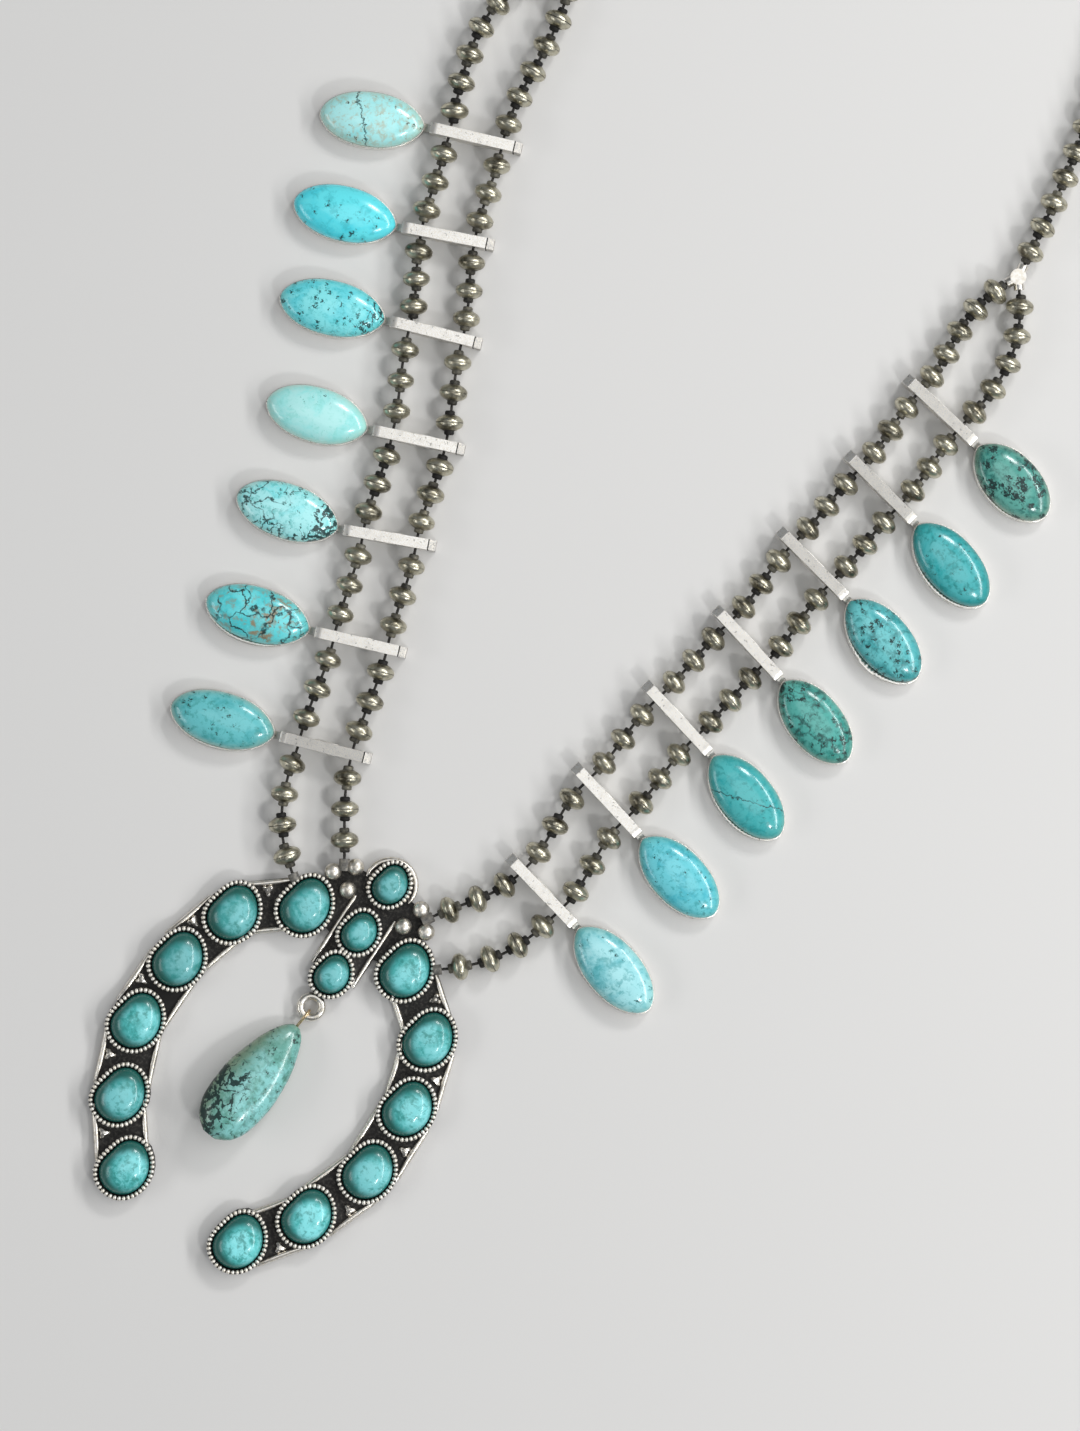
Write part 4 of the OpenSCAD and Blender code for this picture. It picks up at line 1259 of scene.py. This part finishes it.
class NECKLACE_OT_blossoms(bpy.types.Operator):
    """Make the two-hole bars with their cups and marquise stones"""

    bl_idname = "necklace.blossoms"
    bl_label = "Blossoms"

    def execute(self, context):
        silver = silver_material("bar_silver")
        for side in SIDES:
            for i, row in enumerate(BLOSSOMS[side]):
                length = BLOSSOM_LEN * row[4]
                self.setting(side, i, length, silver)
                self.stone(side, i, length)
        return {"FINISHED"}

    def stone(self, side, i, length):
        node = f"blossom_stone_{side}_{i + 1}"
        stone = drawn_up(
            f"{node}_cabochon", blossom_outline(length, LIP_COVER), (length / 2, 0),
            blossom_rings(length),
        )
        at = blossom_matrix(side, i) @ shift(0, 0, CUP_FLOOR + STONE_GAP)
        stone.data.transform(at)
        look = dict(zip(FIGURE_COLUMNS, STONE_FIGURES[side][i]))
        look.update(zip(COLOUR_COLUMNS, STONE_COLOURS[side][i]))
        near, low = look.pop("near_bar"), -side_sign(side)
        # Painted light: the clouds grow paler along the crest as a highlight would, and the edge
        # tone lies on the low flanks, painted shade on the stones whose edge tone is dark
        mark_stone(
            stone, at.inverted(), lambda p: max(0.0, p.z / BLOSSOM_H) ** 1.6,
            lambda p: near * max(1 - p.x / 5.5, 0.45 * (low * p.y / 5.2 - 0.35)),
        )
        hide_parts(node)
        material = turquoise_material(f"blossom_turquoise_{side}_{i + 1}", **look)
        finish_piece(stone, material)

    def setting(self, side, i, length, silver):
        """The bar and neck from the solid, with a smooth cup soldered on."""
        x, y, angle, _, _ = BLOSSOMS[side][i]
        here = shift(x, y) @ turn_z(angle)
        node = f"blossom_setting_{side}_{i + 1}"
        bar = node_copy(node, f"{node}_silver", sizes().edge_round, flat=False)
        axis = (here.to_3x3() @ Vector((1, 0, 0))).normalized()
        half, neck_end = BAR_LEN / 2, BAR_LEN / 2 + NECK_LEN
        activate(bar)
        edit_all()
        bpy.ops.mesh.bisect(
            plane_co=here @ (Vector((neck_end - 0.1, 0, 0)) * MM), plane_no=axis,
            use_fill=True, clear_outer=True,
        )
        bpy.ops.transform.translate(value=axis * 0.45 * MM)
        for inset in CAP_NOTCH:
            notch = here @ (Vector((inset - half, 0, 0)) * MM)
            bpy.ops.mesh.select_all(action="SELECT")
            bpy.ops.mesh.bisect(plane_co=notch, plane_no=axis)
        bpy.ops.object.mode_set(mode="OBJECT")
        lit = Vector((0.045, -0.985, 0)).normalized()
        at = blossom_matrix(side, i)
        bowl = cup(f"{node}_cup", length, at.to_3x3().inverted() @ lit, LIP_SHOWN[side][i])
        bowl.data.transform(at)
        bar = joined(bar.name, [bar, bowl])
        flatten(bar)
        back = here.inverted()
        middle = here @ (Vector((neck_end + length / 2, 0, 0)) * MM)
        cap, notch_shade = CAP_BLACK[side]

        def black(face):
            along = (back @ face.center).x / MM
            # Painted light and shade: the cup is lighter on its side towards the light and darker
            # away from it
            if along > neck_end:
                return 0.40 - 0.38 * share(1.8 * (face.center - middle).normalized().dot(lit))
            if along > half + 0.1:
                return 0.45
            # Painted light and shade: each side's caps are darkened by how the light falls on them,
            # and the notch beside them is only a painted dark line of shade
            if along < CAP_NOTCH[0] - half:
                return cap
            if along < CAP_NOTCH[1] - half:
                return notch_shade
            top = (back.to_3x3() @ face.normal).z > 0.95
            return BAR_DULL[side][i] if top else 0.36

        blacken_and_shade(bar, black)
        finish_piece(bar, silver)


class NECKLACE_OT_beads(bpy.types.Operator):
    """Make the strings of saucer beads"""

    bl_idname = "necklace.beads"
    bl_label = "Beads"

    def execute(self, context):
        half, r, collar = SAUCER_HALF, BEAD_D / 2, COLLAR_D / 2
        section = [
            (BEAD_LEN / 2, BORE_D / 2), (BEAD_LEN / 2, collar - 0.25),
            (BEAD_LEN / 2 - 0.22, collar - 0.02), (1.04 * half, collar - 0.02),
            *((z * half, w * r) for z, w in SAUCER_SHARES),
        ]
        rings = [(-z, w) for z, w in section] + section[::-1]
        bead = drawn_up("saucer_bead", oval(1, 1, 24), (0, 0), rings)
        material = silver_material("bead_silver")
        for strand in ("outer", "inner", "back"):
            for side in SIDES:
                node = f"beads_{strand}_{side}"
                matrices = []
                for k, (middle, axis) in enumerate(bead_places(node)):
                    heading = math.atan2(axis.y, axis.x)
                    askew = noise.noise(middle * 700) * sizes().bead_tilt * 2
                    matrices.append(
                        Matrix.Translation(middle)
                        @ Matrix.Rotation(heading + askew, 4, "Z")
                        @ Matrix.Rotation(math.radians(90), 4, "Y")
                        @ Matrix.Rotation(2.4 * k, 4, "Z")
                        @ Matrix.Scale(0.98 + 0.05 * noise.noise(middle * 930), 4)
                    )
                string = strewn(f"{node}_saucers", bead, matrices)
                self.blacken_beads(string, bead, len(matrices))
                activate(string)
                bpy.ops.object.shade_smooth_by_angle(angle=math.radians(50))
                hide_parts(node)
                finish_piece(string, material)
        remove(bead)
        return {"FINISHED"}

    def blacken_beads(self, string, bead, count):
        """Blackens each bead's collars, the feet of its shoulders and its seam, and each bead
        a little more or less than the next."""
        one = []
        for face in bead.data.polygons:
            along = abs(face.center.z / MM) / SAUCER_HALF
            if along > 1.01:
                one.append(0.66)
            elif along > 0.96:
                one.append(0.55)
            else:
                one.append(0.45 if along < 0.054 else 0.12)
        darker = [
            0.22 * noise.noise(Vector((1.7 * k, 0.3, len(string.name)))) for k in range(count)
        ]
        blacken_and_shade(string, np.clip(np.tile(one, count) + np.repeat(darker, len(one)), 0, 1))


class NECKLACE_OT_ends(bpy.types.Operator):
    """Make the threads, the joiners and the clasp"""

    bl_idname = "necklace.ends"
    bl_label = "Threads, joiners and clasp"

    def execute(self, context):
        thread = thread_material()
        for strand in ("outer_left", "outer_right", "inner_left", "inner_right", "back"):
            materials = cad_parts[f"thread_{strand}"].data.materials
            materials.clear()
            materials.append(thread)
        silver = silver_material("end_silver")
        for node in ("joiner_left", "joiner_right", "clasp"):
            finish_piece(node_copy(node, f"{node}_silver", 0.10 * MM), silver)
        return {"FINISHED"}


class NECKLACE_OT_stage(bpy.types.Operator):
    """Make the floor, the lights and the camera"""

    bl_idname = "necklace.stage"
    bl_label = "Stage"

    def execute(self, context):
        scene = context.scene
        middle = Vector((*PICTURE_MIDDLE, 0)) * MM
        deselect()
        bpy.ops.mesh.primitive_plane_add(size=3.0, location=(middle.x, middle.y, -0.02 * MM))
        floor = context.object
        floor.name = "floor"
        floor.data.materials.append(floor_material())
        roll = sizes().camera_roll
        right = Vector((math.cos(roll), math.sin(roll), 0))
        up = Vector((-math.sin(roll), math.cos(roll), 0))
        for name, turn, lift, far, wide, high, power in LIGHTS:
            a, e = math.radians(turn), math.radians(lift)
            way = (right * math.cos(a) + up * math.sin(a)) * math.cos(e)
            way.z = math.sin(e)
            data = bpy.data.lights.new(name, "AREA")
            data.shape = "RECTANGLE"
            data.size = wide
            data.size_y = high
            data.energy = power
            level = Vector((0, 0, 1)).cross(way).normalized()
            facing = Matrix((level, way.cross(level), way)).transposed().to_4x4()
            new_object(name, data).matrix_world = Matrix.Translation(middle + way * far) @ facing
        world = scene.world or bpy.data.worlds.new("studio")
        scene.world = world
        world.use_nodes = True
        background = world.node_tree.nodes["Background"]
        background.inputs["Color"].default_value = (0.9, 0.95, 1.0, 1)
        background.inputs["Strength"].default_value = 0.20
        lens = bpy.data.cameras.new("camera")
        lens.sensor_width = 36
        lens.lens = lens.sensor_width * sizes().camera_height / sizes().picture_height
        lens.clip_start = 0.01
        camera = new_object("camera", lens)
        camera.location = middle + Vector((0, 0, sizes().camera_height))
        camera.rotation_euler = (0, 0, roll)
        scene.camera = camera
        scene.view_settings.view_transform = "Standard"
        return {"FINISHED"}


class NECKLACE_PT_panel(bpy.types.Panel):
    bl_idname = "NECKLACE_PT_panel"
    bl_label = "Necklace"
    bl_space_type = "VIEW_3D"
    bl_region_type = "UI"
    bl_category = "Necklace"

    def draw(self, context):
        layout = self.layout
        for group in (context.scene.necklace_sizes, context.scene.necklace_colours):
            for name in group.bl_rna.properties.keys():
                if name not in {"rna_type", "name"}:
                    layout.prop(group, name)
        for operator in OPERATORS:
            layout.operator(operator.bl_idname)


OPERATORS = (
    NECKLACE_OT_pendant,
    NECKLACE_OT_pendant_stones,
    NECKLACE_OT_drop,
    NECKLACE_OT_blossoms,
    NECKLACE_OT_beads,
    NECKLACE_OT_ends,
    NECKLACE_OT_stage,
)
CLASSES = (NecklaceSizes, NecklaceColours, *OPERATORS, NECKLACE_PT_panel)


def register():
    for cls in CLASSES:
        bpy.utils.register_class(cls)
    bpy.types.Scene.necklace_sizes = bpy.props.PointerProperty(type=NecklaceSizes)
    bpy.types.Scene.necklace_colours = bpy.props.PointerProperty(type=NecklaceColours)


def unregister():
    del bpy.types.Scene.necklace_colours
    del bpy.types.Scene.necklace_sizes
    for cls in reversed(CLASSES):
        bpy.utils.unregister_class(cls)


def write_sizes():
    """Brings the scene up to date."""
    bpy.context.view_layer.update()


def main():
    register()
    bpy.ops.necklace.pendant()
    bpy.ops.necklace.pendant_stones()
    bpy.ops.necklace.drop()
    bpy.ops.necklace.blossoms()
    bpy.ops.necklace.beads()
    bpy.ops.necklace.ends()
    bpy.ops.necklace.stage()
    write_sizes()


if __name__ == "__main__":
    main()
